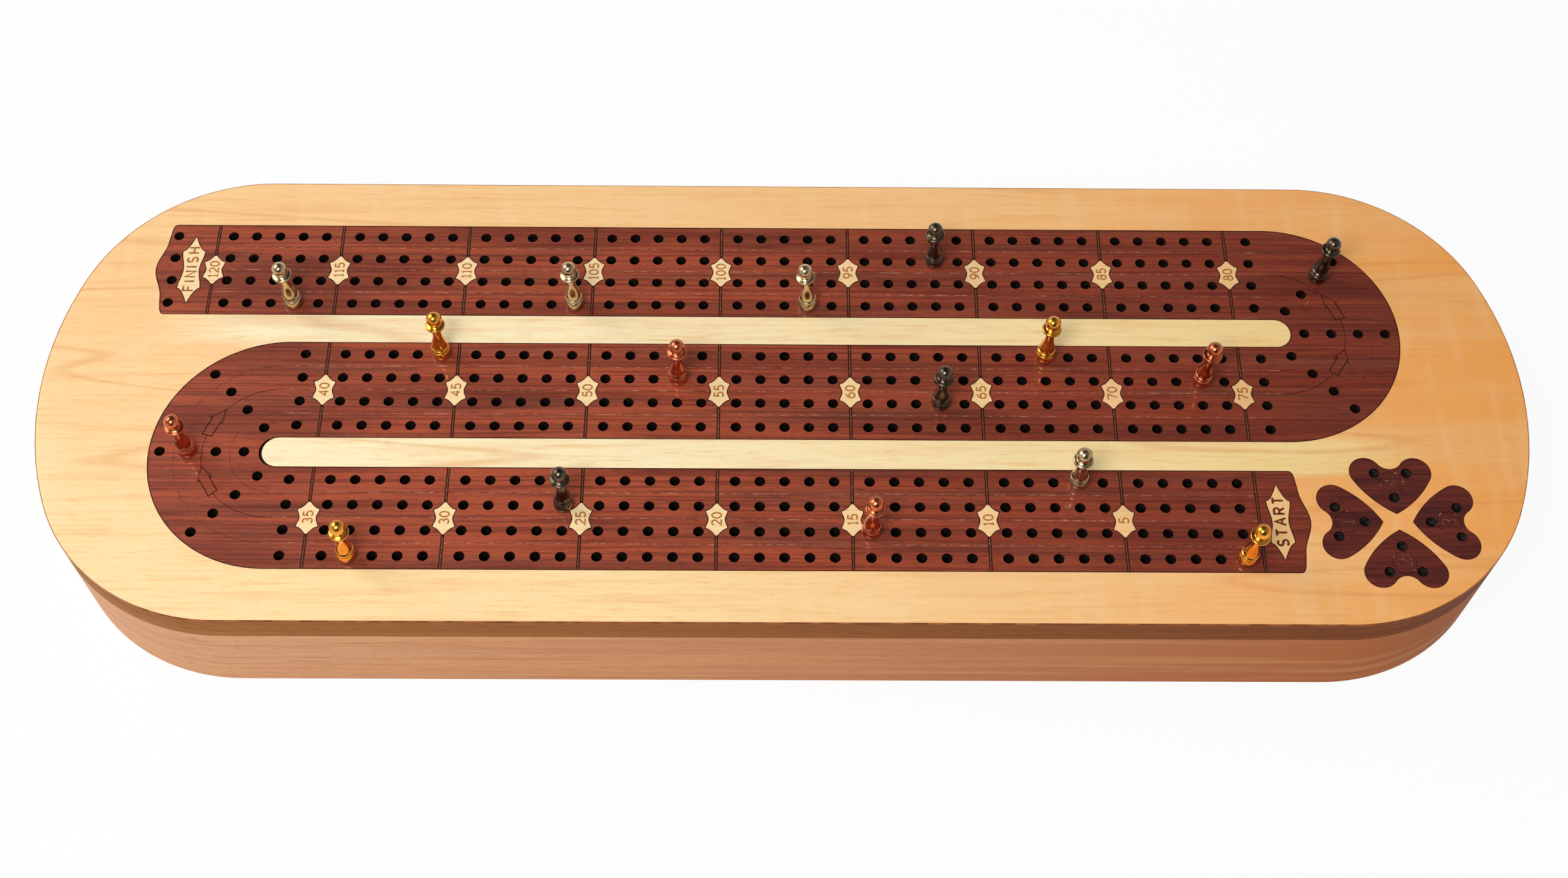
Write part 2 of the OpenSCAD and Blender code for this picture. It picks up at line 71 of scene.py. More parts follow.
Point = tuple[float, float]
Triple = tuple[float, float, float]
Tree = bpy.types.NodeTree
Socket = bpy.types.NodeSocket
Face = bpy.types.MeshPolygon
Links = dict[str | int, object]


def linear(colour: str) -> tuple[float, float, float, float]:
    """Turns an sRGB hex colour into linear light, by the curve of the sRGB standard.

    Args:
        colour: colour as #RRGGBB.

    Returns:
        red, green, blue and an alpha of 1.
    """
    parts = [int(colour[i:i + 2], 16) / 255 for i in (1, 3, 5)]
    red, green, blue = (c / 12.92 if c <= 0.04045 else ((c + 0.055) / 1.055) ** 2.4 for c in parts)
    return red, green, blue, 1.0


def feed(tree: Tree, node: bpy.types.Node, links: Links) -> None:
    """Sets the inputs of a node.

    Args:
        tree: node tree that holds the node.
        node: the node.
        links: for each input, a plain value or the output socket that feeds it.
    """
    for key, value in links.items():
        if isinstance(value, Socket):
            tree.links.new(value, node.inputs[key])
        else:
            node.inputs[key].default_value = value


def add(tree: Tree, kind: str, settings: dict[str, object] | None = None,
        links: Links | None = None, stops: Sequence[tuple[float, str]] = ()) -> bpy.types.Node:
    """Adds a node with its settings and links.

    Args:
        tree: node tree that takes the node.
        kind: name of the node's type after ShaderNode.
        settings: attributes of the node.
        links: for each input, a plain value or the output socket that feeds it.
        stops: places and sRGB colours of a colour ramp's two ends.

    Returns:
        The new node.
    """
    node = tree.nodes.new("ShaderNode" + kind)
    for name, value in (settings or {}).items():
        setattr(node, name, value)
    feed(tree, node, links or {})
    for i, (place, colour) in enumerate(stops):
        element = node.color_ramp.elements[i]
        element.position = place
        element.color = linear(colour)
    return node


# Sockets of a Mix node that mixes colours, and of one that mixes vectors
MIX_A, MIX_B, MIXED = 6, 7, 2
VECTOR_A, VECTOR_B, VECTOR_MIXED = 4, 5, 1
COLOURS = {"data_type": "RGBA"}
SMOOTH = {"interpolation_type": "SMOOTHSTEP"}
ABSOLUTE = {"operation": "ABSOLUTE"}
MULTIPLY = {"operation": "MULTIPLY"}
LARGER = {"operation": "MAXIMUM"}
# Shift between two layers of marks in wood, which keeps them from repeating each other, and the
# shift of the fibres that stand out
LAYER_SHIFT, FIBRE_SHIFT = 3.7, 1.3


class Grain(Enum):
    """Way in which the fibres of a wooden piece run."""

    ALONG = "along the board"
    ROUND = "round the board's rim, and along the board on level faces"


@dataclass(frozen=True)
class Figure:
    """One kind of mark in wood, which shows where a noise stretched along the grain is high.

    The size is a mark's length and width in millimetres. The span holds the noise's values at
    which the mark starts and is full. With rings, the mark follows contour lines of the noise, as
    growth lines do.
    """

    colour: str
    size: Point
    span: Point
    share: float
    detail: float = 2
    rings: float = 0


@dataclass(frozen=True)
class Finish:
    """What a surface is made of and how it was made."""

    name: str

    def look(self, tree: Tree) -> Links:
        """Adds the finish's pattern.

        Args:
            tree: the material's node tree.

        Returns:
            What each input of the surface's Principled BSDF takes.
        """
        raise NotImplementedError

    def material(self) -> bpy.types.Material:
        """Makes the finish's material, on its first use.

        Returns:
            The material, which is the same at each use.
        """
        found = bpy.data.materials.get(self.name)
        if found is not None:
            return found
        made = bpy.data.materials.new(self.name)
        made.use_nodes = True
        tree = made.node_tree
        feed(tree, tree.nodes["Principled BSDF"], self.look(tree))
        return made


@dataclass(frozen=True)
class Wood(Finish):
    """Planed wood or sliced veneer under clear lacquer. Sizes are in millimetres.

    Its colour drifts from a start, left of the board's middle, to the right end: partly the wood's
    own change of tone, and partly painted shade, darker towards the right end. Over the front span
    it drifts towards the front. Two bands of sapwood may run along the board, so far from its middle
    line: their edge and ends are the distances at which they begin to fade and are gone. Figures
    lie over it all and run with the grain. The lacquer fills the pores and gives a soft sheen.
    """

    left: str
    right: str
    shine: float
    drift_start: float = 40
    figures: tuple[Figure, ...] = ()
    knot: str = "#000000"
    knot_share: float = 0.0
    knot_pitch: float = 34
    knot_span: Point = (0.03, 0.0)
    front: str = "#000000"
    front_share: float = 0.0
    front_span: Point = (40, -70)
    sapwood: str = "#000000"
    sapwood_right: str = "#000000"
    sapwood_share: float = 0.0
    sapwood_middle: float = 21.9
    sapwood_edge: Point = (5, 10)
    sapwood_ends: Point = (130, 230)
    sapwood_span: Point = (0.3, 0.7)
    layering: float = 0.6
    waver: float = 0.1
    roughness: float = 0.42
    coat: float = 0.25
    coat_roughness: float = 0.1
    relief: Point = (22, 0.5)
    relief_detail: float = 3
    relief_depth: float = 0.04
    relief_strength: float = 0.2
    grain: Grain = Grain.ALONG

    def marks(self, tree: Tree, size: Point, detail: float, start: float) -> Socket:
        """Adds irregular marks of one size that run with the grain.

        Args:
            tree: the material's node tree.
            size: length and width of a mark in millimetres.
            detail: how many finer layers lie over the marks.
            start: shift that keeps this layer from repeating another.

        Returns:
            Socket with a value of about 0.3 to 0.7.
        """
        along, across = (1 / (side * MM) for side in size)
        place = add(tree, "TexCoord")
        spread, *curved = (
            add(tree, "Mapping", {}, {
                "Vector": place.outputs["Object"], "Scale": (along, sideways, across),
                "Location": (start, start, 0)}).outputs[0]
            for sideways in ((across, along) if self.grain is Grain.ROUND else (across,)))
        if curved:
            facing = add(tree, "SeparateXYZ", {}, {0: place.outputs["Normal"]})
            height = add(tree, "Math", ABSOLUTE, {0: facing.outputs[2]})
            level = add(tree, "Math", {"operation": "GREATER_THAN"}, {
                0: height.outputs[0], 1: LEVEL})
            spread = add(tree, "Mix", {"data_type": "VECTOR"}, {
                0: level.outputs[0], VECTOR_A: curved[0], VECTOR_B: spread}).outputs[VECTOR_MIXED]
        noise = add(tree, "TexNoise", {}, {
            "Vector": spread, "Scale": 1.0, "Detail": detail, "Roughness": self.layering,
            "Distortion": self.waver})
        return noise.outputs[0]

    def laid(self, tree: Tree, under: Socket, colour: str | Socket, mask: Socket, span: Point,
             share: float) -> Socket:
        """Lays a colour over another where a mask is high.

        Args:
            tree: the material's node tree.
            under: the colour below.
            colour: sRGB hex colour to lay over it, or the socket that gives the colour.
            mask: socket that says where.
            span: values of the mask at which the colour starts and is full.
            share: how much of the colour shows where it is full.

        Returns:
            Socket with the mixed colour.
        """
        amount = add(tree, "MapRange", SMOOTH, {
            "Value": mask, "From Min": span[0], "From Max": span[1], "To Min": 0.0,
            "To Max": share})
        over = linear(colour) if isinstance(colour, str) else colour
        mixed = add(tree, "Mix", COLOURS, {0: amount.outputs[0], MIX_A: under, MIX_B: over})
        return mixed.outputs[MIXED]

    def sapwood_mask(self, tree: Tree, axes: bpy.types.Node) -> Socket:
        """Adds a value that is high in the two pale bands along the board.

        Args:
            tree: the material's node tree.
            axes: node that gives the coordinates.

        Returns:
            Socket with a value from 0 to 1.
        """
        across = add(tree, "Math", ABSOLUTE, {0: axes.outputs[1]})
        apart = add(tree, "Math", {"operation": "SUBTRACT"}, {
            0: across.outputs[0], 1: self.sapwood_middle * MM})
        fades = []
        for way, (full, gone) in ((apart, self.sapwood_edge), (axes, self.sapwood_ends)):
            distance = add(tree, "Math", ABSOLUTE, {0: way.outputs[0]})
            fades.append(add(tree, "MapRange", {}, {
                "Value": distance.outputs[0], "From Min": full * MM, "From Max": gone * MM,
                "To Min": 1.0, "To Max": 0.0}).outputs[0])
        return add(tree, "Math", MULTIPLY, dict(enumerate(fades))).outputs[0]

    def look(self, tree: Tree) -> Links:
        """Adds the wood's tone, figures and fibres.

        Args:
            tree: the material's node tree.

        Returns:
            What each input of the surface's Principled BSDF takes.
        """
        place = add(tree, "TexCoord").outputs["Object"]
        axes = add(tree, "SeparateXYZ", {}, {0: place})
        # The drift to the right end is partly the wood's own tone and partly painted shade
        drift = add(tree, "MapRange", {}, {
            "Value": axes.outputs[0], "From Min": -self.drift_start * MM,
            "From Max": BOARD_HALF * MM}).outputs[0]
        nearness = add(tree, "MapRange", SMOOTH, {
            "Value": axes.outputs[1], "From Min": self.front_span[0] * MM,
            "From Max": self.front_span[1] * MM, "To Min": 0.0, "To Max": self.front_share})
        front = add(tree, "Mix", COLOURS, {
            0: nearness.outputs[0], MIX_A: linear(self.left), MIX_B: linear(self.front)})
        colour = add(tree, "Mix", COLOURS, {
            0: drift, MIX_A: front.outputs[MIXED], MIX_B: linear(self.right)}).outputs[MIXED]
        if self.sapwood_share:
            pale = add(tree, "Mix", COLOURS, {
                0: drift, MIX_A: linear(self.sapwood), MIX_B: linear(self.sapwood_right)})
            colour = self.laid(tree, colour, pale.outputs[MIXED], self.sapwood_mask(tree, axes),
                               self.sapwood_span, self.sapwood_share)
        for i, figure in enumerate(self.figures, 1):
            mask = self.marks(tree, figure.size, figure.detail, LAYER_SHIFT * i)
            if figure.rings:
                counted = add(tree, "Math", MULTIPLY, {0: mask, 1: figure.rings})
                mask = add(tree, "Math", {"operation": "PINGPONG"}, {
                    0: counted.outputs[0], 1: 1}).outputs[0]
            colour = self.laid(tree, colour, figure.colour, mask, figure.span, figure.share)
        if self.knot_share:
            knots = add(tree, "TexVoronoi", {}, {
                "Vector": place, "Scale": 1 / (self.knot_pitch * MM)})
            colour = self.laid(tree, colour, self.knot, knots.outputs["Distance"], self.knot_span,
                               self.knot_share)
        bump = add(tree, "Bump", {}, {
            "Strength": self.relief_strength, "Distance": self.relief_depth * MM,
            "Height": self.marks(tree, self.relief, self.relief_detail, FIBRE_SHIFT)})
        return {"Base Color": colour, "Normal": bump.outputs[0], "Roughness": self.roughness,
                "Specular IOR Level": self.shine, "Coat Weight": self.coat,
                "Coat Roughness": self.coat_roughness}


@dataclass(frozen=True)
class Burn(Finish):
    """Wood charred by a laser: matt, and mottled where the beam went deeper. Some of these finishes
    carry painted light: pale painted glints in the mottle of scribed lines, painted shade in the peg
    holes, and painted light in the holes below the hearts.

    The mottle's size is in millimetres.
    """

    deep: str
    shallow: str
    mottle_size: float
    mottle_detail: float = 3
    lower: float = 0.42
    upper: float = 0.58
    roughness: float = 0.6
    shine: float = 0.1

    def look(self, tree: Tree) -> Links:
        """Adds the char's mottling.

        Args:
            tree: the material's node tree.

        Returns:
            What each input of the surface's Principled BSDF takes.
        """
        place = add(tree, "TexCoord").outputs["Object"]
        mottle = add(tree, "TexNoise", {}, {
            "Vector": place, "Scale": 1 / (self.mottle_size * MM),
            "Detail": self.mottle_detail})
        colour = add(tree, "ValToRGB", {}, {0: mottle.outputs[0]}, (
            (self.lower, self.deep), (self.upper, self.shallow)))
        return {"Base Color": colour.outputs[0], "Roughness": self.roughness,
                "Specular IOR Level": self.shine}


@dataclass(frozen=True)
class Metal(Finish):
    """Turned or plated metal: a clean mirror, blurred a little by handling, under clear lacquer.

    The smears' size is in millimetres.
    """

    colour: str
    tarnish: str
    smooth: float
    worn: float
    tarnish_span: Point = (0.3, 0.55)
    worn_span: Point = (0.35, 0.7)
    smear_size: float = 2.5
    smear_detail: float = 4
    lacquer: float = 0.7
    lacquer_blur: float = 0.1

    def look(self, tree: Tree) -> Links:
        """Adds the metal's tarnish and smears.

        Args:
            tree: the material's node tree.

        Returns:
            What each input of the surface's Principled BSDF takes.
        """
        place = add(tree, "TexCoord").outputs["Object"]
        smears = add(tree, "TexNoise", {}, {
            "Vector": place, "Scale": 1 / (self.smear_size * MM),
            "Detail": self.smear_detail}).outputs[0]
        colour = add(tree, "ValToRGB", {}, {0: smears}, tuple(
            zip(self.tarnish_span, (self.tarnish, self.colour))))
        blur = add(tree, "MapRange", {}, {
            "Value": smears, "From Min": self.worn_span[0], "From Max": self.worn_span[1],
            "To Min": self.smooth, "To Max": self.worn})
        return {"Base Color": colour.outputs[0], "Roughness": blur.outputs[0], "Metallic": 1.0,
                "Coat Weight": self.lacquer, "Coat Roughness": self.lacquer_blur}


@dataclass(frozen=True)
class Moulded(Finish):
    """Moulded plastic with a faint, even grain. Sizes are in millimetres."""

    colour: str
    roughness: float = 0.45
    grain_size: float = 0.4
    grain_detail: float = 2
    grain_depth: float = 0.02
    grain_strength: float = 0.2

    def look(self, tree: Tree) -> Links:
        """Adds the plastic's grain.

        Args:
            tree: the material's node tree.

        Returns:
            What each input of the surface's Principled BSDF takes.
        """
        place = add(tree, "TexCoord").outputs["Object"]
        grain = add(tree, "TexNoise", {}, {
            "Vector": place, "Scale": 1 / (self.grain_size * MM),
            "Detail": self.grain_detail})
        bump = add(tree, "Bump", {}, {
            "Strength": self.grain_strength, "Distance": self.grain_depth * MM,
            "Height": grain.outputs[0]})
        return {"Normal": bump.outputs[0], "Base Color": linear(self.colour),
                "Roughness": self.roughness}


# Hard maple, sliced flat: a creamy face with faint growth lines, a soft curl across the grain, a
# few brown pin knots, and paler sapwood between the dark rows
MAPLE = Wood(
    "lacquered_maple_veneer", left="#FECF93", right="#FFAC56", knot="#A8632B", knot_share=0.7,
    front="#FFE2AA", front_share=0.75, sapwood="#FFF3C8", sapwood_right="#FFDB86",
    sapwood_share=0.9, shine=0.25, coat=0.3, coat_roughness=0.08,
    figures=(Figure("#FFDDA4", (150, 16), (0.42, 0.62), 0.2),
             Figure("#DC8E48", (240, 22), (0.84, 1.0), 0.32, 1, 7),
             Figure("#F0AA64", (60, 3.0), (0.48, 0.7), 0.3, 3),
             Figure("#E8A25C", (30, 0.9), (0.5, 0.75), 0.35, 4),
             Figure("#EEAE6C", (8, 1.2), (0.5, 0.72), 0.3, 3),
             Figure("#FFDFAE", (6, 40), (0.48, 0.7), 0.14, 1),
             Figure("#C4803E", (1.6, 0.3), (0.66, 0.76), 0.35, 1)))
# Paler maple for the shields and plaques, with hardly any figure at their small size
PALE_MAPLE = Wood(
    "lacquered_pale_maple", left="#FCDDA8", right="#FABF7C", shine=0.25,
    figures=(Figure("#E8B26E", (14, 0.8), (0.46, 0.75), 0.45, 3),
             Figure("#C98A4C", (3, 0.35), (0.62, 0.74), 0.3, 1)))
# Rosewood: red-brown with darker and greyer streaks, and many open pores, under a deep gloss
ROSEWOOD = Wood(
    "lacquered_rosewood_veneer", left="#AE5034", right="#7E2E1E", relief=(16, 0.35), shine=0.2,
    coat=0.8, coat_roughness=0.07,
    figures=(Figure("#64281C", (110, 9), (0.43, 0.62), 0.55),
             Figure("#6E4234", (90, 6), (0.5, 0.66), 0.4, 2),
             Figure("#A4522F", (60, 3.2), (0.52, 0.7), 0.35, 3),
             Figure("#561F16", (60, 1.0), (0.46, 0.6), 0.55, 4),
             Figure("#8A4C3A", (40, 0.8), (0.52, 0.66), 0.35, 3),
             Figure("#BE6A2C", (22, 0.5), (0.69, 0.74), 0.5, 2),
             Figure("#300F0A", (4, 0.22), (0.58, 0.68), 0.45, 1)))
# Rosewood cut from nearer the heart: darker, and nearly black in its streaks
DARK_ROSEWOOD = Wood(
    "lacquered_heart_rosewood", left="#70301F", right="#6C2A20", relief=(14, 0.35), shine=0.2,
    coat=0.8, coat_roughness=0.07,
    figures=(Figure("#43181A", (60, 5), (0.42, 0.58), 0.65),
             Figure("#8A3A2C", (40, 2.6), (0.52, 0.68), 0.45, 3),
             Figure("#3A1412", (30, 1.0), (0.46, 0.66), 0.55, 4),
             Figure("#2A0D0A", (6, 0.22), (0.56, 0.68), 0.4, 1)))
# Solid maple, stained light brown: long fibres round the rim, with short dark flecks, and darker
# towards the right end partly as painted shade
BASE_WOOD = Wood(
    "stained_maple", left="#E6AE86", right="#B6622C", drift_start=200, grain=Grain.ROUND,
    relief=(24, 0.4), roughness=0.6, shine=0.05, coat=0.0,
    figures=(Figure("#E8AC76", (180, 7), (0.45, 0.62), 0.35),
             Figure("#C07C4C", (120, 2.2), (0.48, 0.7), 0.35, 3),
             Figure("#A86838", (14, 0.5), (0.52, 0.7), 0.35, 2),
             Figure("#8E5526", (3, 0.25), (0.62, 0.72), 0.4, 1)))
# The lid's core: a browner wood, with painted shade on the lid's side below the veneers' edge,
# darker towards the right end
CORE_WOOD_AND_SHADE = Wood(
    "browned_core", left="#B07440", right="#703016", drift_start=120, grain=Grain.ROUND,
    relief=(24, 0.35), roughness=0.6, shine=0.05, coat=0.0,
    figures=(Figure("#985A2C", (160, 3.2), (0.42, 0.6), 0.5),
             Figure("#7A4218", (90, 1.0), (0.5, 0.7), 0.4, 3),
             Figure("#50260C", (5, 0.25), (0.6, 0.7), 0.5, 1)))
# Laser char: nearly black in the joints, red-brown on thin edges, and with a paler middle where
# the beam cut wide strokes. In the peg holes, char painted nearly black with the holes' shade, and
# painted paler grey, as lit, in the holes below the hearts
CHAR = Burn("joint_char", "#1D0D09", "#4A2014", 1.5, roughness=0.7)
SOOT_AND_SHADE = Burn("sooted_bore", "#150F0D", "#2B211D", 1.2, roughness=0.7)
LIT_GREY_BORE = Burn("grey_bore", "#211E1B", "#484640", 1.0, roughness=0.7)
HEART_JOINT = Burn("heart_joint_char", "#3A120C", "#5E2216", 2.0)
EDGE_CHAR = Burn("edge_char", "#7E3A14", "#B06430", 6)
LINE_CHAR = Burn("line_char", "#200E09", "#3C1B12", 1.0)
NUMERAL_CHAR = Burn("numeral_char", "#8A4618", "#A9642C", 0.7)
NUMERAL_CORE = Burn("numeral_middle", "#B8702E", "#DA9450", 0.7)
WORD_CHAR = Burn("word_char", "#7E401C", "#A4642F", 0.9)
WORD_CORE = Burn("word_middle", "#A8683A", "#C48B54", 0.9)
START_CHAR = Burn("start_word_char", "#4A180B", "#6A2812", 0.9)
START_CORE = Burn("start_word_middle", "#6A2A14", "#8A4020", 0.9)
# Scribed lines. The lane lines, the specks between the cross lines and the hearts' circles hold
# pale painted glints, where light catches their edges
GLINTING_LINE = Burn("polish_filled_line", "#7E4534", "#C8A084", 1.8, lower=0.48, upper=0.68)
FAINT_LINE = Burn("faint_scribed_line", "#8A4632", "#52271B", 3.5, lower=0.4, upper=0.56)
GLINT_SPECKS = Burn("polish_specks", "#74402E", "#B08450", 0.7, lower=0.58, upper=0.68)
HEART_SCRIBE = Burn("heart_scribe", "#2E120E", "#B08468", 1.4, lower=0.56, upper=0.66)
HEART_NUMERAL = Burn("heart_numeral", "#5A2A20", "#95644A", 1.2, lower=0.4, upper=0.64)
# Electroplated pegs: warm nickel, gold, copper and smoky black nickel, each a close mirror
SILVER = Metal("nickel_plate", "#CDB187", "#9E815A", 0.12, 0.24)
GOLD = Metal("gold_plate", "#F4A428", "#D88418", 0.12, 0.22)
COPPER = Metal("copper_plate", "#DA6E3E", "#AA4624", 0.13, 0.26)
BLACK = Metal("black_nickel_plate", "#5C4C36", "#33281D", 0.15, 0.3)
# Hardware that shows when the lid is open or from below: satin brass and zinc-plated steel, and
# magnets about as bright as the pegs
BRASS = Metal("machined_brass", "#D8B060", "#B58C40", 0.2, 0.32)
STEEL = Metal("zinc_plated_steel", "#C2C4C6", "#A2A4A8", 0.26, 0.4)
MAGNET = Metal("nickel_plated_magnet", "#CDCFD2", "#B4B6BA", 0.12, 0.22)
# Moulded nylon: milky, with a dull sheen
NYLON = Moulded("natural_nylon", "#E6E1D4")


def put(name: str, data: bpy.types.ID) -> bpy.types.Object:
    """Puts a new object into the scene.

    Args:
        name: its name.
        data: its mesh, lamp or camera.

    Returns:
        The new object.
    """
    made = bpy.data.objects.new(name, data)
    bpy.context.scene.collection.objects.link(made)
    return made


def make_piece(name: str, points: Sequence[Vector], faces: Sequence[Sequence[int]], finish: Finish,
               slot: str, body: str) -> bpy.types.Object:
    """Makes a mesh object from points and faces, and lets it ride on a body.

    Args:
        name: the piece's name.
        points: its vertices, in metres.
        faces: vertex numbers of each face.
        finish: what it is made of.
        slot: the record's material slot that it belongs to; not used.
        body: the CAD body that it moves with.

    Returns:
        The new object.
    """
    mesh = bpy.data.meshes.new(name)
    mesh.from_pydata([tuple(p) for p in points], [], [tuple(f) for f in faces])
    mesh.materials.append(finish.material())
    mesh.update()
    piece = put(name, mesh)
    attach(piece, body)
    LOG.info("%s: %d faces on %s", name, len(faces), body)
    return piece


def arc(centre: Point, radius: Point, start: float, end: float, step: float = 6) -> list[Point]:
    """Finds the points of an elliptical arc.

    Args:
        centre: its middle.
        radius: its half width and half height.
        start: first angle in degrees.
        end: last angle in degrees.
        step: largest turn between two points, in degrees.

    Returns:
        The points from its start to its end.
    """
    count = max(2, math.ceil(abs(end - start) / step))
    turns = [math.radians(start + (end - start) * i / count) for i in range(count + 1)]
    return [(centre[0] + radius[0] * math.cos(t), centre[1] + radius[1] * math.sin(t))
            for t in turns]


# Number of heights that an inscription's strokes take in turn, and the step between two of them in
# millimetres. A corner's mitre is a stroke's half width over a cosine, which is taken as no less
# than the last value, so that a sharp corner doesn't run out to a spike
STEPS, STEP, MITRE = 5, 0.002, 0.5


@dataclass
class Inscription:
    """Flat marks burnt into the playing surface, gathered into one mesh.

    A stroke lies a hair above the one before, so that two that cross don't share a plane.
    """

    name: str
    finish: Finish
    slot: str
    height: float
    strokes: int = 0
    points: list[Vector] = field(default_factory=list)
    faces: list[tuple[int, ...]] = field(default_factory=list)

    def stroke(self, path: Sequence[Point], width: float, closed: bool = False) -> None:
        """Adds a stroke of even width, mitred at its corners.

        Args:
            path: its middle line, in millimetres.
            width: its width in millimetres.
            closed: whether its end joins its start.
        """
        line = [Vector(p) for p in path]
        count = len(line)
        first = len(self.points)
        height = self.height + self.strokes % STEPS * STEP * MM
        self.strokes += 1
        for i, here in enumerate(line):
            before = line[i - 1] if closed or i > 0 else here
            after = line[(i + 1) % count] if closed or i < count - 1 else here
            into = (here - before).normalized() if here != before else (after - here).normalized()
            out = (after - here).normalized() if after != here else into
            way = (into + out).normalized()
            side = Vector((-way.y, way.x))
            reach = width / 2 / max(MITRE, side.dot(Vector((-into.y, into.x))))
            for sign in (1, -1):
                edge = here + sign * reach * side
                self.points.append(Vector((edge.x * MM, edge.y * MM, height)))
        for i in range(count if closed else count - 1):
            a, b = first + 2 * i, first + 2 * ((i + 1) % count)
            self.faces.append((a, a + 1, b + 1, b))

    def burn(self, body: str) -> bpy.types.Object:
        """Makes the marks' mesh, riding on the body."""
        return make_piece(self.name, self.points, self.faces, self.finish, self.slot, body)


def _letter_strokes() -> dict[str, tuple[float, list[list[Point]]]]:
    """Draws the numerals and letters that the board needs.

    Returns:
        For each, its width and its strokes, at a height of 1.
    """
    bowl = arc((0.32, 0.31), (0.32, 0.31), 0, 360)
    neck = arc((0.64, 0.33), (0.64, 0.66), 100, 180)
    return {
        "0": (0.62, [arc((0.31, 0.5), (0.31, 0.5), 0, 360)]),
        "1": (0.34, [[(0, 0.8), (0.17, 1), (0.17, 0)], [(0, 0), (0.34, 0)]]),
        "2": (0.6, [arc((0.3, 0.7), (0.29, 0.3), 165, -35) + [(0, 0), (0.6, 0), (0.6, 0.08)]]),
        "3": (0.58, [arc((0.28, 0.76), (0.25, 0.24), 150, -90),
                     arc((0.28, 0.26), (0.3, 0.26), 90, -150)]),
        "4": (0.64, [[(0.46, 0), (0.46, 1), (0, 0.32), (0.64, 0.32)]]),
        "5": (0.58, [[(0.54, 1), (0.1, 1), (0.07, 0.54)]
                     + arc((0.28, 0.31), (0.3, 0.31), 130, -150)]),
        "6": (0.64, [bowl, neck]),
        "7": (0.6, [[(0, 0.9), (0, 1), (0.6, 1), (0.2, 0)]]),
        "8": (0.6, [arc((0.3, 0.76), (0.24, 0.24), 0, 360), arc((0.3, 0.26), (0.3, 0.26), 0, 360)]),
        "9": (0.64, [[(0.64 - x, 1 - y) for x, y in part] for part in (bowl, neck)]),
        "A": (0.72, [[(0, 0), (0.36, 1), (0.72, 0)], [(0.14, 0.36), (0.58, 0.36)]]),
        "F": (0.56, [[(0, 0), (0, 1), (0.56, 1)], [(0, 0.52), (0.46, 0.52)]]),
        "H": (0.64, [[(0, 0), (0, 1)], [(0.64, 0), (0.64, 1)], [(0, 0.5), (0.64, 0.5)]]),
        "I": (0.0, [[(0, 0), (0, 1)]]),
        "N": (0.66, [[(0, 0), (0, 1), (0.66, 0), (0.66, 1)]]),
        "R": (0.62, [[(0, 0), (0, 1)] + arc((0.34, 0.74), (0.26, 0.26), 90, -90) + [(0, 0.48)],
                     [(0.32, 0.48), (0.62, 0)]]),
        "S": (0.58, [arc((0.29, 0.75), (0.27, 0.25), 30, 270)
                     + arc((0.29, 0.25), (0.29, 0.25), 90, -150)]),
        "T": (0.66, [[(0, 1), (0.66, 1)], [(0.33, 1), (0.33, 0)]])}


LETTERS = _letter_strokes()
# Two ends of a stroke that are nearer than this, at a letter's height of 1, are one point
JOINED = 1e-6


def write(marks: Inscription, text: str, centre: Point, height: float, gap: float,
          width: float) -> None:
    """Burns a word or number that reads away from the front of the board.

    Args:
        marks: the inscription that takes it.
        text: numerals and letters.
        centre: its middle, in millimetres.
        height: height of its letters in millimetres.
        gap: space between two letters in millimetres.
        width: width of its strokes in millimetres.
    """
    length = sum(LETTERS[c][0] * height for c in text) + gap * (len(text) - 1)
    start = -length / 2
    for letter in text:
        wide, strokes = LETTERS[letter]
        for stroke in strokes:
            closed = math.dist(stroke[0], stroke[-1]) < JOINED
            path = [(centre[0] - (y - 0.5) * height, centre[1] + start + x * height)
                    for x, y in stroke]
            marks.stroke(path[:-1] if closed else path, width, closed)
        start += wide * height + gap


def spot(corner: Vector) -> Point:
    """Returns a corner's place seen from above, in millimetres, rounded so that places compare."""
    return round(corner.x / MM, DIGITS), round(corner.y / MM, DIGITS)


def middle(corners: tuple[Vector, Vector]) -> Point:
    """Returns the middle of a box seen from above, in millimetres."""
    low, high = corners
    return (low.x + high.x) / 2 / MM, (low.y + high.y) / 2 / MM


def top_loops(node: str) -> list[list[Point]]:
    """Finds the outlines of a node's upper face.

    Args:
        node: name of the CAD node.

    Returns:
        Each closed outline's points in millimetres: the rim, and then those of its cut-outs.
    """
    mesh = frame["nodes"][node].data
    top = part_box(node)[1].z
    after: dict[Point, set[Point]] = {}
    for face in mesh.polygons:
        if face.normal.z < UPWARD or abs(face.center.z - top) > SAME_HEIGHT * MM:
            continue
        keys = [spot(mesh.vertices[i].co) for i in face.vertices]
        for a, b in zip(keys, keys[1:] + keys[:1]):
            if a in after.get(b, ()):
                after[b].discard(a)
            else:
                after.setdefault(a, set()).add(b)
    loops = []
    while any(after.values()):
        start = next(a for a, b in after.items() if b)
        loop = [start]
        here = after[start].pop()
        while here != start:
            loop.append(here)
            here = after[here].pop()
        loops.append(loop)
    return loops


def span(loop: Sequence[Point]) -> float:
    """Returns how far a closed outline reaches along the board, in millimetres."""
    return max(x for x, _ in loop) - min(x for x, _ in loop)


def is_wall(face: Face) -> int:
    """Returns 1 on the cut edges of a veneer, and 0 on its faces."""
    return int(abs(face.normal.z) < LEVEL)


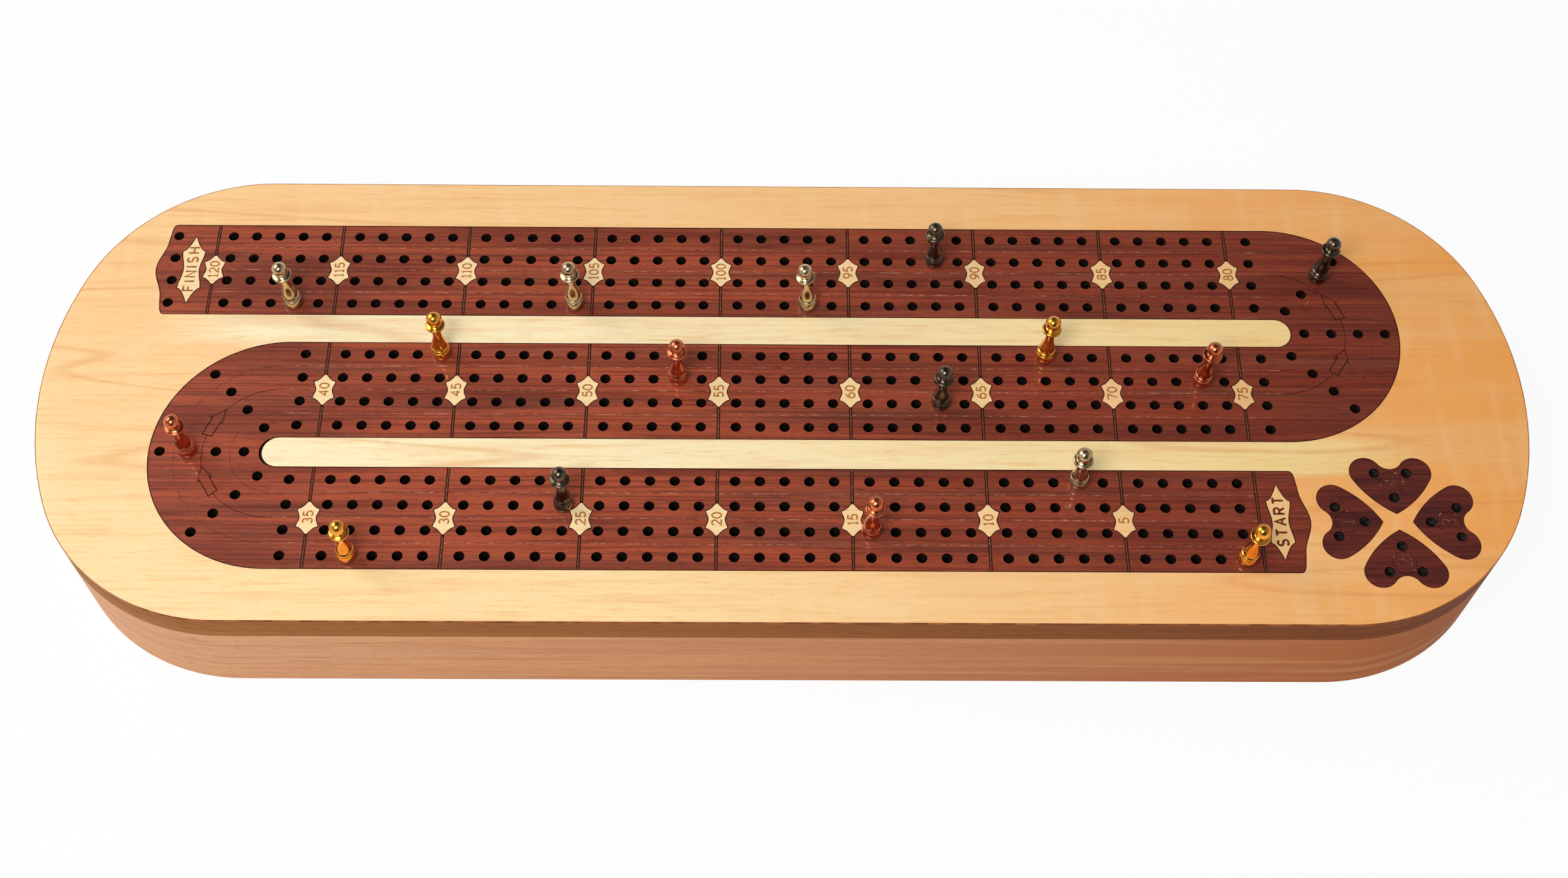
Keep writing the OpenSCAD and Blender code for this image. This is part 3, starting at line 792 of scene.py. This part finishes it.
@dataclass
class Woodwork:
    """The base, the lid's core and the veneers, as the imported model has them.

    A turn of the surface by more degrees than the sharp turn stays a crisp edge. Corners that lie
    within the weld's millimetres of each other are one.
    """

    sharp_turn: float = 35
    weld: float = 0.001

    def finish_node(self, node: str, finishes: Sequence[Finish],
                    choose: Callable[[Face], int] = lambda face: 0) -> None:
        """Gives a CAD node its finishes, and smooth faces between crisp edges.

        Args:
            node: name of the CAD node.
            finishes: what it is made of.
            choose: says which of the finishes a face has.
        """
        part = frame["nodes"][node]
        mesh = part.data
        mesh.materials.clear()
        for finish in finishes:
            mesh.materials.append(finish.material())
        for face in mesh.polygons:
            face.material_index = choose(face)
            face.use_smooth = True
        if "custom_normal" in mesh.attributes:
            mesh.attributes.remove(mesh.attributes["custom_normal"])
        weld = part.modifiers.new("weld", "WELD")
        weld.merge_threshold = self.weld * MM
        split = part.modifiers.new("crisp_edges", "EDGE_SPLIT")
        split.split_angle = math.radians(self.sharp_turn)
        LOG.info("%s: %s", node, ", ".join(f.name for f in finishes))

    def build(self) -> None:
        """Finishes every wooden node."""
        rim = {key for loop in top_loops("base") if span(loop) > BOARD_REACH for key in loop}
        core = frame["nodes"]["lid_core"].data
        hearts_left, hearts_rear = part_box("heart_1")[0].x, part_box("heart_4")[1].y

        def bore(face: Face) -> int:
            """Tells the holes in the lid's core from its other faces.

            Args:
                face: a face of the core.

            Returns:
                2 on the holes below the hearts, 1 on the other holes and 0 elsewhere.
            """
            hole = 2 if face.center.x > hearts_left and face.center.y < hearts_rear else 1
            if abs(face.normal.z) > LEVEL:
                return hole if face.normal.z > 0 else 0
            return 0 if all(spot(core.vertices[i].co) in rim for i in face.vertices) else hole

        self.finish_node("base", [BASE_WOOD])
        # The holes' walls take char with painted shade, and painted light in the holes below the
        # hearts
        self.finish_node("lid_core", [CORE_WOOD_AND_SHADE, SOOT_AND_SHADE, LIT_GREY_BORE], bore)
        self.finish_node("maple_field", [MAPLE, EDGE_CHAR], is_wall)
        self.finish_node("track_inlay", [ROSEWOOD, CHAR], is_wall)
        for node in ("number_shields", "start_plaque", "finish_plaque"):
            self.finish_node(node, [PALE_MAPLE, CHAR], is_wall)
        for number in range(1, HEARTS + 1):
            self.finish_node(f"heart_{number}", [DARK_ROSEWOOD, CHAR], is_wall)


@dataclass
class Hardware:
    """The pivot, its washers and the magnets."""

    finishes: dict[str, Finish] = field(default_factory=lambda: {
        "pivot_pin": BRASS, "thrust_washer": NYLON, "keeper_washer": STEEL, "keeper_screw": STEEL,
        "lid_magnets": MAGNET, "base_magnets": MAGNET})

    def build(self, woodwork: Woodwork) -> None:
        """Finishes the hardware's nodes, with the woodwork's way of keeping edges crisp."""
        for node, finish in self.finishes.items():
            woodwork.finish_node(node, [finish])


class Run(IntEnum):
    """A straight stretch of the track, counted from the front."""

    START = 0
    MIDDLE = 1
    FINISH = 2


@dataclass
class TrackMarks:
    """Lines, arrows, numerals and words burnt into the track, its shields and the hearts.

    Sizes are in millimetres. The first numbers are those of the runs' left cross lines, from the
    front, and the ways say whether the numbers grow to the right.
    """

    lines: int = 7
    line_pitch: float = 40
    group: int = 5
    first_numbers: tuple[int, ...] = (35, 40, 115)
    number_ways: tuple[int, ...] = (-1, 1, -1)
    lane_pitch: float = 8.38
    last_line_shift: float = 0.7
    bend_offset: float = 12.2
    bend_step: float = 3
    half_width: float = 16.77
    pair_gap: float = 0.68
    line_width: float = 0.33
    lane_width: float = 0.15
    bend_line_width: float = 0.18
    bend_lane_width: float = 0.17
    arrow_width: float = 0.32
    outline_width: float = 0.3
    shield_outline: float = 0.28
    shield_waist: float = 3.0
    heart_outline: float = 0.24
    rim_width: float = 0.18
    numeral_height: float = 2.75
    numeral_gap: float = 0.75
    numeral_width: float = 0.46
    core_share: float = 0.42
    word_height: float = 3.1
    count_circle: float = 3.5
    count_circle_width: float = 0.2
    count_place: float = 10.6
    count_height: float = 3.9
    count_width: float = 0.3
    shield_drop: float = 0.2
    lift: float = 0.012
    body: str = "lid"

    def __post_init__(self) -> None:
        """Takes the track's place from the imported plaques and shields."""
        self.near_y = middle(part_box("start_plaque"))[1] + self.shield_drop
        far_y = middle(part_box("finish_plaque"))[1] + self.shield_drop
        self.run_pitch = (far_y - self.near_y) / 2
        self.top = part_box("track_inlay")[1].z
        self.end_x = self.lines * self.line_pitch / 2
        self.bend_x = self.end_x + self.bend_offset

    def run_y(self, run: Run) -> float:
        """Returns the middle line of a run."""
        return self.near_y + run * self.run_pitch

    def line_x(self, line: int) -> float:
        """Returns the place of a cross line; line -1 is the last one, before the finish."""
        shift = self.last_line_shift if line < 0 else 0
        return line * self.line_pitch - self.end_x + shift

    def shield_lines(self, run: Run) -> range:
        """Returns the cross lines of a run that have a shield."""
        last = self.lines if run is Run.START else self.lines + 1
        return range(-1 if run is Run.FINISH else 0, last)

    def number(self, run: Run, line: int) -> int:
        """Returns the number of holes from the start to a cross line."""
        return self.first_numbers[run] + self.number_ways[run] * self.group * line

    def inscription(self, name: str, finish: Finish, slot: str, layer: int = 1) -> Inscription:
        """Returns an empty inscription that lies on the veneers, layer by layer."""
        return Inscription(name, finish, slot, self.top + layer * self.lift * MM)

    def cross_lines(self) -> None:
        """Burns the pair of lines across the track after every fifth hole, with specks of painted
        glint between.
        """
        marks = self.inscription("cross_lines", LINE_CHAR, "rosewood_veneer", 2)
        specks = self.inscription("cross_line_specks", GLINT_SPECKS, "rosewood_veneer", 2)
        low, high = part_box("number_shields")
        tip = (high.y - low.y) / 2 / MM - self.run_pitch - self.pair_gap
        for run in Run:
            for line in range(self.shield_lines(run).start, self.lines + 1):
                x, y = self.line_x(line), self.run_y(run)
                spans = ((-self.half_width, -tip - self.shield_drop),
                         (tip - self.shield_drop, self.half_width))
                if line not in self.shield_lines(run):
                    spans = ((-self.half_width, self.half_width),)
                for near, far in spans:
                    specks.stroke([(x, y + near), (x, y + far)], self.pair_gap - self.line_width)
                    for side in (-self.pair_gap / 2, self.pair_gap / 2):
                        marks.stroke([(x + side, y + near), (x + side, y + far)], self.line_width)
        specks.burn(self.body)
        marks.burn(self.body)

    def lane_lines(self) -> None:
        """Scribes the lines between the lanes, along the runs to where the bends start."""
        marks = self.inscription("lane_lines", GLINTING_LINE, "rosewood_veneer")
        for run in Run:
            left = self.line_x(-1) if run is Run.FINISH else -self.bend_x
            right = self.end_x if run is Run.START else self.bend_x
            for lane in (-1, 0, 1):
                y = self.run_y(run) + lane * self.lane_pitch
                stops = [left]
                if lane == 0:
                    for line in self.shield_lines(run):
                        x = self.line_x(line)
                        stops += [x - self.shield_waist, x + self.shield_waist]
                stops.append(right)
                for a, b in zip(stops[::2], stops[1::2]):
                    if b > a:
                        marks.stroke([(a, y), (b, y)], self.lane_width)
        marks.burn(self.body)

    def bend_marks(self) -> None:
        """Burns the bends' lane arcs and the two arrows on each middle arc."""
        marks = self.inscription("bend_marks", LINE_CHAR, "rosewood_veneer", 2)
        faint = self.inscription("bend_lane_lines", FAINT_LINE, "rosewood_veneer")
        radius = self.run_pitch / 2
        bends = (((-self.bend_x, self.run_y(Run.START) + radius), 180, (220, 165), -1),
                 ((self.bend_x, self.run_y(Run.MIDDLE) + radius), 0, (-41, 14.5), 1))
        for centre, facing, tails, way in bends:
            first, last = facing - 90, facing + 90
            gaps = []
            for tail in tails:
                turn = way * math.degrees(self.arrow(marks, centre, radius, tail, way) / radius)
                gaps.append(tuple(sorted((tail, tail + turn))))
            gaps.sort()
            for lane in (radius - self.lane_pitch, radius + self.lane_pitch):
                faint.stroke(arc(centre, (lane, lane), first, last, self.bend_step),
                             self.bend_lane_width)
            stops = [first] + [angle for gap in gaps for angle in gap] + [last]
            for a, b in zip(stops[::2], stops[1::2]):
                marks.stroke(arc(centre, (radius, radius), a, b, self.bend_step),
                             self.bend_line_width)
        marks.burn(self.body)
        faint.burn(self.body)

    def arrow(self, marks: Inscription, centre: Point, radius: float, tail: float,
              way: int) -> float:
        """Burns the outline of an arrow that follows an arc.

        Args:
            marks: the inscription that takes it.
            centre: the arc's centre.
            radius: the arc's radius.
            tail: angle of the arrow's tail in degrees.
            way: 1 to point anticlockwise, -1 clockwise.

        Returns:
            The arrow's length.
        """
        length, neck, shaft, barb, swept = 10.0, 6.0, 1.5, 2.3, 0.5
        half = [(0, shaft), (neck, shaft), (neck - swept, barb)]
        outline = half + [(length, 0)] + [(u, -v) for u, v in reversed(half)]
        path = []
        for along, out in outline:
            angle = math.radians(tail + way * math.degrees(along / radius))
            path.append((centre[0] + (radius + out) * math.cos(angle),
                         centre[1] + (radius + out) * math.sin(angle)))
        marks.stroke(path, self.arrow_width, closed=True)
        return length

    def numerals(self) -> None:
        """Burns the numbers into the shields and the words into the plaques.

        Each has a dark edge and, a layer above, a paler middle.
        """
        texts = [(str(self.number(run, line)), (self.line_x(line), self.run_y(run)))
                 for run in Run for line in self.shield_lines(run)]
        for name, finish, layer, share in (("shield_numerals", NUMERAL_CHAR, 1, 1),
                                           ("shield_numeral_middles", NUMERAL_CORE, 2,
                                            self.core_share)):
            marks = self.inscription(name, finish, "shield_veneer", layer)
            for text, place in texts:
                write(marks, text, place, self.numeral_height, self.numeral_gap,
                      self.numeral_width * share)
            marks.burn(self.body)
        words = (("start_plaque", "START", 15.9, 0.66, START_CHAR, START_CORE),
                 ("finish_plaque", "FINISH", 16.2, 0.6, WORD_CHAR, WORD_CORE))
        for node, text, length, width, edge, core in words:
            x, y = middle(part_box(node))
            letters = sum(LETTERS[c][0] * self.word_height for c in text)
            gap = (length - letters) / (len(text) - 1)
            for part, finish, layer, share in (("word", edge, 1, 1),
                                               ("word_middle", core, 2, self.core_share)):
                word = self.inscription(f"{text.lower()}_{part}", finish, "shield_veneer", layer)
                write(word, text, (x, y + self.shield_drop), self.word_height, gap, width * share)
                word.burn(self.body)

    def heart_counts(self) -> None:
        """Scribes a circle with the number of games won into each heart."""
        circles = self.inscription("heart_circles", HEART_SCRIBE, "heart_veneer")
        numerals = self.inscription("heart_numerals", HEART_NUMERAL, "heart_veneer")
        boxes = [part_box(f"heart_{number}") for number in range(1, HEARTS + 1)]
        hearts = [Vector(((low.x + high.x) / 2, (low.y + high.y) / 2, 0)) / MM
                  for low, high in boxes]
        centre = Vector((hearts[1].x, hearts[0].y, 0))
        for number, (heart, (low, high)) in enumerate(zip(hearts, boxes), 1):
            out = (heart - centre).normalized()
            half = max(abs(out.x) * (high.x - low.x), abs(out.y) * (high.y - low.y)) / 2 / MM
            place = tuple((heart + out * (self.count_place - half)).xy)
            circle = arc(place, (self.count_circle, self.count_circle), 0, 360)
            circles.stroke(circle[:-1], self.count_circle_width, closed=True)
            write(numerals, str(number), place, self.count_height, 0, self.count_width)
        circles.burn(self.body)
        numerals.burn(self.body)

    def inlay_outlines(self) -> None:
        """Chars a thin line along every joint between two veneers, and along the lid's rim."""
        marks = self.inscription("inlay_joints", CHAR, "rosewood_veneer", 3)
        hearts = self.inscription("heart_joints", HEART_JOINT, "heart_veneer", 3)
        rim = self.inscription("lid_rim_burn", EDGE_CHAR, "maple_veneer")
        inset = 1 - self.rim_width / BOARD_HALF
        for loop in top_loops("maple_field"):
            if span(loop) < HEART_REACH:
                hearts.stroke(loop, self.heart_outline, closed=True)
            elif span(loop) < BOARD_REACH:
                marks.stroke(loop, self.outline_width, closed=True)
            else:
                rim.stroke([(x * inset, y * inset) for x, y in loop], self.rim_width, closed=True)
        for node in ("number_shields", "start_plaque", "finish_plaque"):
            for loop in top_loops(node):
                marks.stroke(loop, self.shield_outline, closed=True)
        marks.burn(self.body)
        hearts.burn(self.body)
        rim.burn(self.body)

    def build(self) -> None:
        """Burns all the marks."""
        self.cross_lines()
        self.lane_lines()
        self.bend_marks()
        self.numerals()
        self.heart_counts()
        self.inlay_outlines()


class Plate(Enum):
    """Plating of the four sets of pegs."""

    SILVER = SILVER
    GOLD = GOLD
    COPPER = COPPER
    BLACK = BLACK


@dataclass
class PegSet:
    """Four turned pegs of one plating, each standing where its CAD node stands.

    Sizes are in millimetres, from the playing surface along the peg's axis. Each round holds a
    half width and half height, and each arc its first and last angle and its step in degrees. The
    groove's and flares' places are steps in and down, out and down, and out and up, from the
    belly, the neck and the throat.
    """

    plate: Plate
    pegs: int = 4
    sides: int = 72
    sharp_turn: float = 42
    tip_radius: float = 0.95
    tip_bevel: float = 0.3
    shank_radius: float = 1.45
    shank_length: float = 6.8
    foot_radius: float = 2.95
    foot_gap: float = 0.25
    foot_round: Point = (0.62, 1.7)
    foot_arc: Triple = (-90, 80, 8)
    ring_radius: float = 2.75
    ring_height: float = 4.3
    ring_round: Point = (0.35, 0.6)
    ring_arc: Triple = (-60, 75, 10)
    groove: tuple[Point, ...] = ((0.15, 0.45), (0.09, 0.4), (0.03, 0.25), (0, 0))
    belly_radius: float = 2.4
    belly_height: float = 5.6
    flank_ease: float = 0.9
    flank_steps: int = 20
    neck_radius: float = 1.4
    neck_drop: float = 4.3
    neck_flare: tuple[Point, ...] = ((0.03, 1.9), (0.2, 1.2), (0.55, 0.72))
    collar_radius: float = 2.95
    collar_height: float = 15.5
    collar_round: Point = (0.45, 0.45)
    collar_arc: Triple = (-80, 80, 12)
    throat_share: float = 0.6
    throat_flare: tuple[Point, ...] = ((0.6, 0.62), (0.2, 0.78))
    head_radius: float = 2.35
    head_height: float = 18.5
    head_end: Point = (88, 5)

    def flank(self) -> list[Point]:
        """Draws the curve from the belly's widest place up to the neck.

        Returns:
            Its points, as radius and height.
        """
        rise = self.collar_height - self.neck_drop - self.belly_height
        sway = (self.belly_radius - self.neck_radius) / 2
        steps = [i / self.flank_steps for i in range(1, self.flank_steps + 1)]
        return [(self.neck_radius + sway * (1 + math.cos(math.pi * t ** self.flank_ease)),
                 self.belly_height + t * rise) for t in steps]

    def profile(self) -> list[Point]:
        """Draws the turned outline, from the shank's tip to the head's top.

        Returns:
            Its points, as radius and height.
        """
        collar, top = self.collar_height, self.belly_height
        throat = self.throat_share * self.head_radius
        return (
            [(0, -self.shank_length), (self.tip_radius - self.tip_bevel, -self.shank_length),
             (self.tip_radius, self.tip_bevel - self.shank_length), (self.shank_radius, 0),
             (self.shank_radius, self.foot_gap)]
            + arc((self.foot_radius - self.foot_round[0], self.foot_gap + self.foot_round[1]),
                  self.foot_round, *self.foot_arc)
            + arc((self.ring_radius - self.ring_round[0], self.ring_height), self.ring_round,
                  *self.ring_arc)
            + [(self.belly_radius - inwards, top - down) for inwards, down in self.groove]
            + self.flank()
            + [(self.neck_radius + out, collar - down) for out, down in self.neck_flare]
            + arc((self.collar_radius - self.collar_round[0], collar), self.collar_round,
                  *self.collar_arc)
            + [(throat + out, collar + up) for out, up in self.throat_flare]
            + arc((0, self.head_height), (self.head_radius, self.head_radius),
                  -math.degrees(math.acos(self.throat_share)), *self.head_end)
            + [(0, self.head_height + self.head_radius)])

    def turn(self, name: str) -> bpy.types.Object:
        """Turns one peg in the place of its CAD node.

        Args:
            name: the CAD node's name.

        Returns:
            The new object.
        """
        joint = next(j for j in frame["joints"] if j["child"] == name)
        axis = Vector(joint["axis"]).normalized()
        crown = max((v.co for v in frame["nodes"][name].data.vertices), key=axis.dot)
        foot = crown - axis * (self.head_height + self.head_radius) * MM
        side = axis.cross(Vector((0, 1, 0))).normalized()
        other = axis.cross(side)
        points, rings = [], []
        for radius, height in self.profile():
            centre = foot + axis * height * MM
            ring = []
            for i in range(self.sides if radius > 0 else 1):
                angle = math.tau * i / self.sides
                out = side * math.cos(angle) + other * math.sin(angle)
                ring.append(len(points))
                points.append(centre + out * radius * MM)
            rings.append(ring)
        faces = []
        for low, high in zip(rings, rings[1:]):
            for i in range(self.sides):
                j = (i + 1) % self.sides
                corners = (low[i % len(low)], low[j % len(low)],
                           high[j % len(high)], high[i % len(high)])
                faces.append(tuple(dict.fromkeys(corners)))
        peg = make_piece(f"{name}_turned", points, faces, self.plate.value,
                         f"{self.plate.name.lower()}_peg_metal", name)
        peg.data.shade_smooth()
        peg.data.set_sharp_from_angle(angle=math.radians(self.sharp_turn))
        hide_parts(name)
        return peg

    def build(self) -> None:
        """Turns the set's pegs."""
        for number in range(1, self.pegs + 1):
            self.turn(f"{self.plate.name.lower()}_peg_{number}")


@dataclass(frozen=True)
class Lamp:
    """A round white lamp, by its place and width in metres and its power in watts."""

    name: str
    place: Triple
    width: float
    power: float

    def hang(self) -> None:
        """Hangs the lamp, shining at the board's middle."""
        data = bpy.data.lights.new(self.name, "AREA")
        data.shape = "DISK"
        data.size = self.width
        data.energy = self.power
        lamp = put(self.name, data)
        lamp.location = self.place
        lamp.rotation_euler = (-Vector(self.place)).to_track_quat("-Z", "Y").to_euler()


@dataclass
class Studio:
    """A plain white floor, soft lamps and the camera of the photograph.

    Sizes are in metres, angles in degrees and the focal length in pixels of the photograph. The
    sky's tone goes from low to high over a span of the way's height. Each dark patch is the way
    to it and the share of light left there: where the viewer is, and overhead.
    """

    floor_side: float = 8.0
    floor_grey: float = 0.9
    background_share: float = 0.93
    camera_place: Triple = (-0.00611, -0.32124, 0.5791)
    camera_turn: Triple = (29.558, -0.615, -0.032)
    focal_length: float = 3353.03
    image_width: float = 2560
    sensor_width: float = 36.0
    sky_low: float = 0.6
    sky_high: float = 0.26
    sky_span: Point = (0.1, 0.85)
    dark_patches: tuple[tuple[Triple, float], ...] = (
        ((0.05, -0.8, 0.6), 0.15), ((0.0, 0.51, 0.86), 0.35))
    dark_span: Point = (0.8, 0.93)
    lamps: tuple[Lamp, ...] = (
        Lamp("softbox", (-0.24, -0.45, 0.9), 0.6, 3.3), Lamp("window", (-1.0, 0.4, 0.85), 1.0, 6.9),
        Lamp("sparkle", (-0.18, -0.36, 0.7), 0.24, 1.6))

    def camera(self) -> None:
        """Places the camera where the grid of peg holes says that the photograph's one stood."""
        data = bpy.data.cameras.new("photo_camera")
        data.sensor_width = self.sensor_width
        data.lens = self.focal_length / self.image_width * self.sensor_width
        camera = put("photo_camera", data)
        camera.location = self.camera_place
        camera.rotation_euler = [math.radians(a) for a in self.camera_turn]
        bpy.context.scene.camera = camera

    def shown_rays(self, tree: Tree) -> Socket:
        """Adds a value that tells rays that see the background from rays that light.

        Args:
            tree: the floor's node tree.

        Returns:
            Socket with 1 for rays that see, and 0 for those that light.
        """
        path = add(tree, "LightPath")
        seen = path.outputs["Is Camera Ray"]
        for ray in ("Is Glossy Ray", "Is Transmission Ray"):
            seen = add(tree, "Math", LARGER, {0: seen, 1: path.outputs[ray]}).outputs[0]
        return seen

    def floor(self) -> None:
        """Lays the white floor, which keeps the object's shadow."""
        half = self.floor_side / 2
        mesh = bpy.data.meshes.new("floor")
        corners = ((-half, -half, 0), (half, -half, 0), (half, half, 0), (-half, half, 0))
        mesh.from_pydata(corners, [], [(0, 1, 2, 3)])
        made = bpy.data.materials.new("white_floor")
        made.use_nodes = True
        tree = made.node_tree
        tree.nodes.clear()
        matt = add(tree, "BsdfDiffuse", {}, {"Color": (*[self.floor_grey] * 3, 1)})
        white = add(tree, "Emission", {}, {"Color": linear(WHITE), "Strength": 1.0})
        share = add(tree, "Math", MULTIPLY, {0: self.shown_rays(tree), 1: self.background_share})
        mixed = add(tree, "MixShader", {}, {
            0: share.outputs[0], 1: matt.outputs[0], 2: white.outputs[0]})
        add(tree, "OutputMaterial", {}, {"Surface": mixed.outputs[0]})
        mesh.materials.append(made)
        floor = put("floor", mesh)

    def world(self) -> None:
        """Sets a soft sky: brighter at the sides, and dark where the viewer is and overhead."""
        world = bpy.data.worlds.new("studio")
        world.use_nodes = True
        tree = world.node_tree
        tree.nodes.clear()
        way = add(tree, "TexCoord").outputs["Generated"]
        axes = add(tree, "SeparateXYZ", {}, {0: way})
        level = add(tree, "MapRange", SMOOTH, {
            "Value": axes.outputs[2], "From Min": self.sky_span[0], "From Max": self.sky_span[1],
            "To Min": self.sky_low, "To Max": self.sky_high})
        for dark_way, share in self.dark_patches:
            towards = add(tree, "VectorMath", {"operation": "DOT_PRODUCT"}, {
                0: way, 1: tuple(Vector(dark_way).normalized())})
            shade = add(tree, "MapRange", SMOOTH, {
                "Value": towards.outputs["Value"], "From Min": self.dark_span[0],
                "From Max": self.dark_span[1], "To Min": 1.0, "To Max": share})
            level = add(tree, "Math", MULTIPLY, {0: level.outputs[0], 1: shade.outputs[0]})
        seen = add(tree, "LightPath").outputs["Is Camera Ray"]
        shown = add(tree, "Math", LARGER, {0: level.outputs[0], 1: seen})
        white = add(tree, "Background", {}, {"Color": linear(WHITE), "Strength": shown.outputs[0]})
        add(tree, "OutputWorld", {}, {"Surface": white.outputs[0]})
        bpy.context.scene.world = world

    def build(self) -> None:
        """Sets up the camera, the floor, the sky and the lamps."""
        self.camera()
        self.floor()
        self.world()
        for lamp in self.lamps:
            lamp.hang()
        bpy.context.scene.view_settings.view_transform = "Standard"


def main() -> None:
    """Builds the board's finishes, marks and pegs, and the studio round them."""
    logging.basicConfig(level=logging.INFO, format="%(name)s: %(message)s")
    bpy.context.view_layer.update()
    Studio().build()
    woodwork = Woodwork()
    woodwork.build()
    Hardware().build(woodwork)
    TrackMarks().build()
    for plate in Plate:
        PegSet(plate).build()


if __name__ == "__main__":
    main()
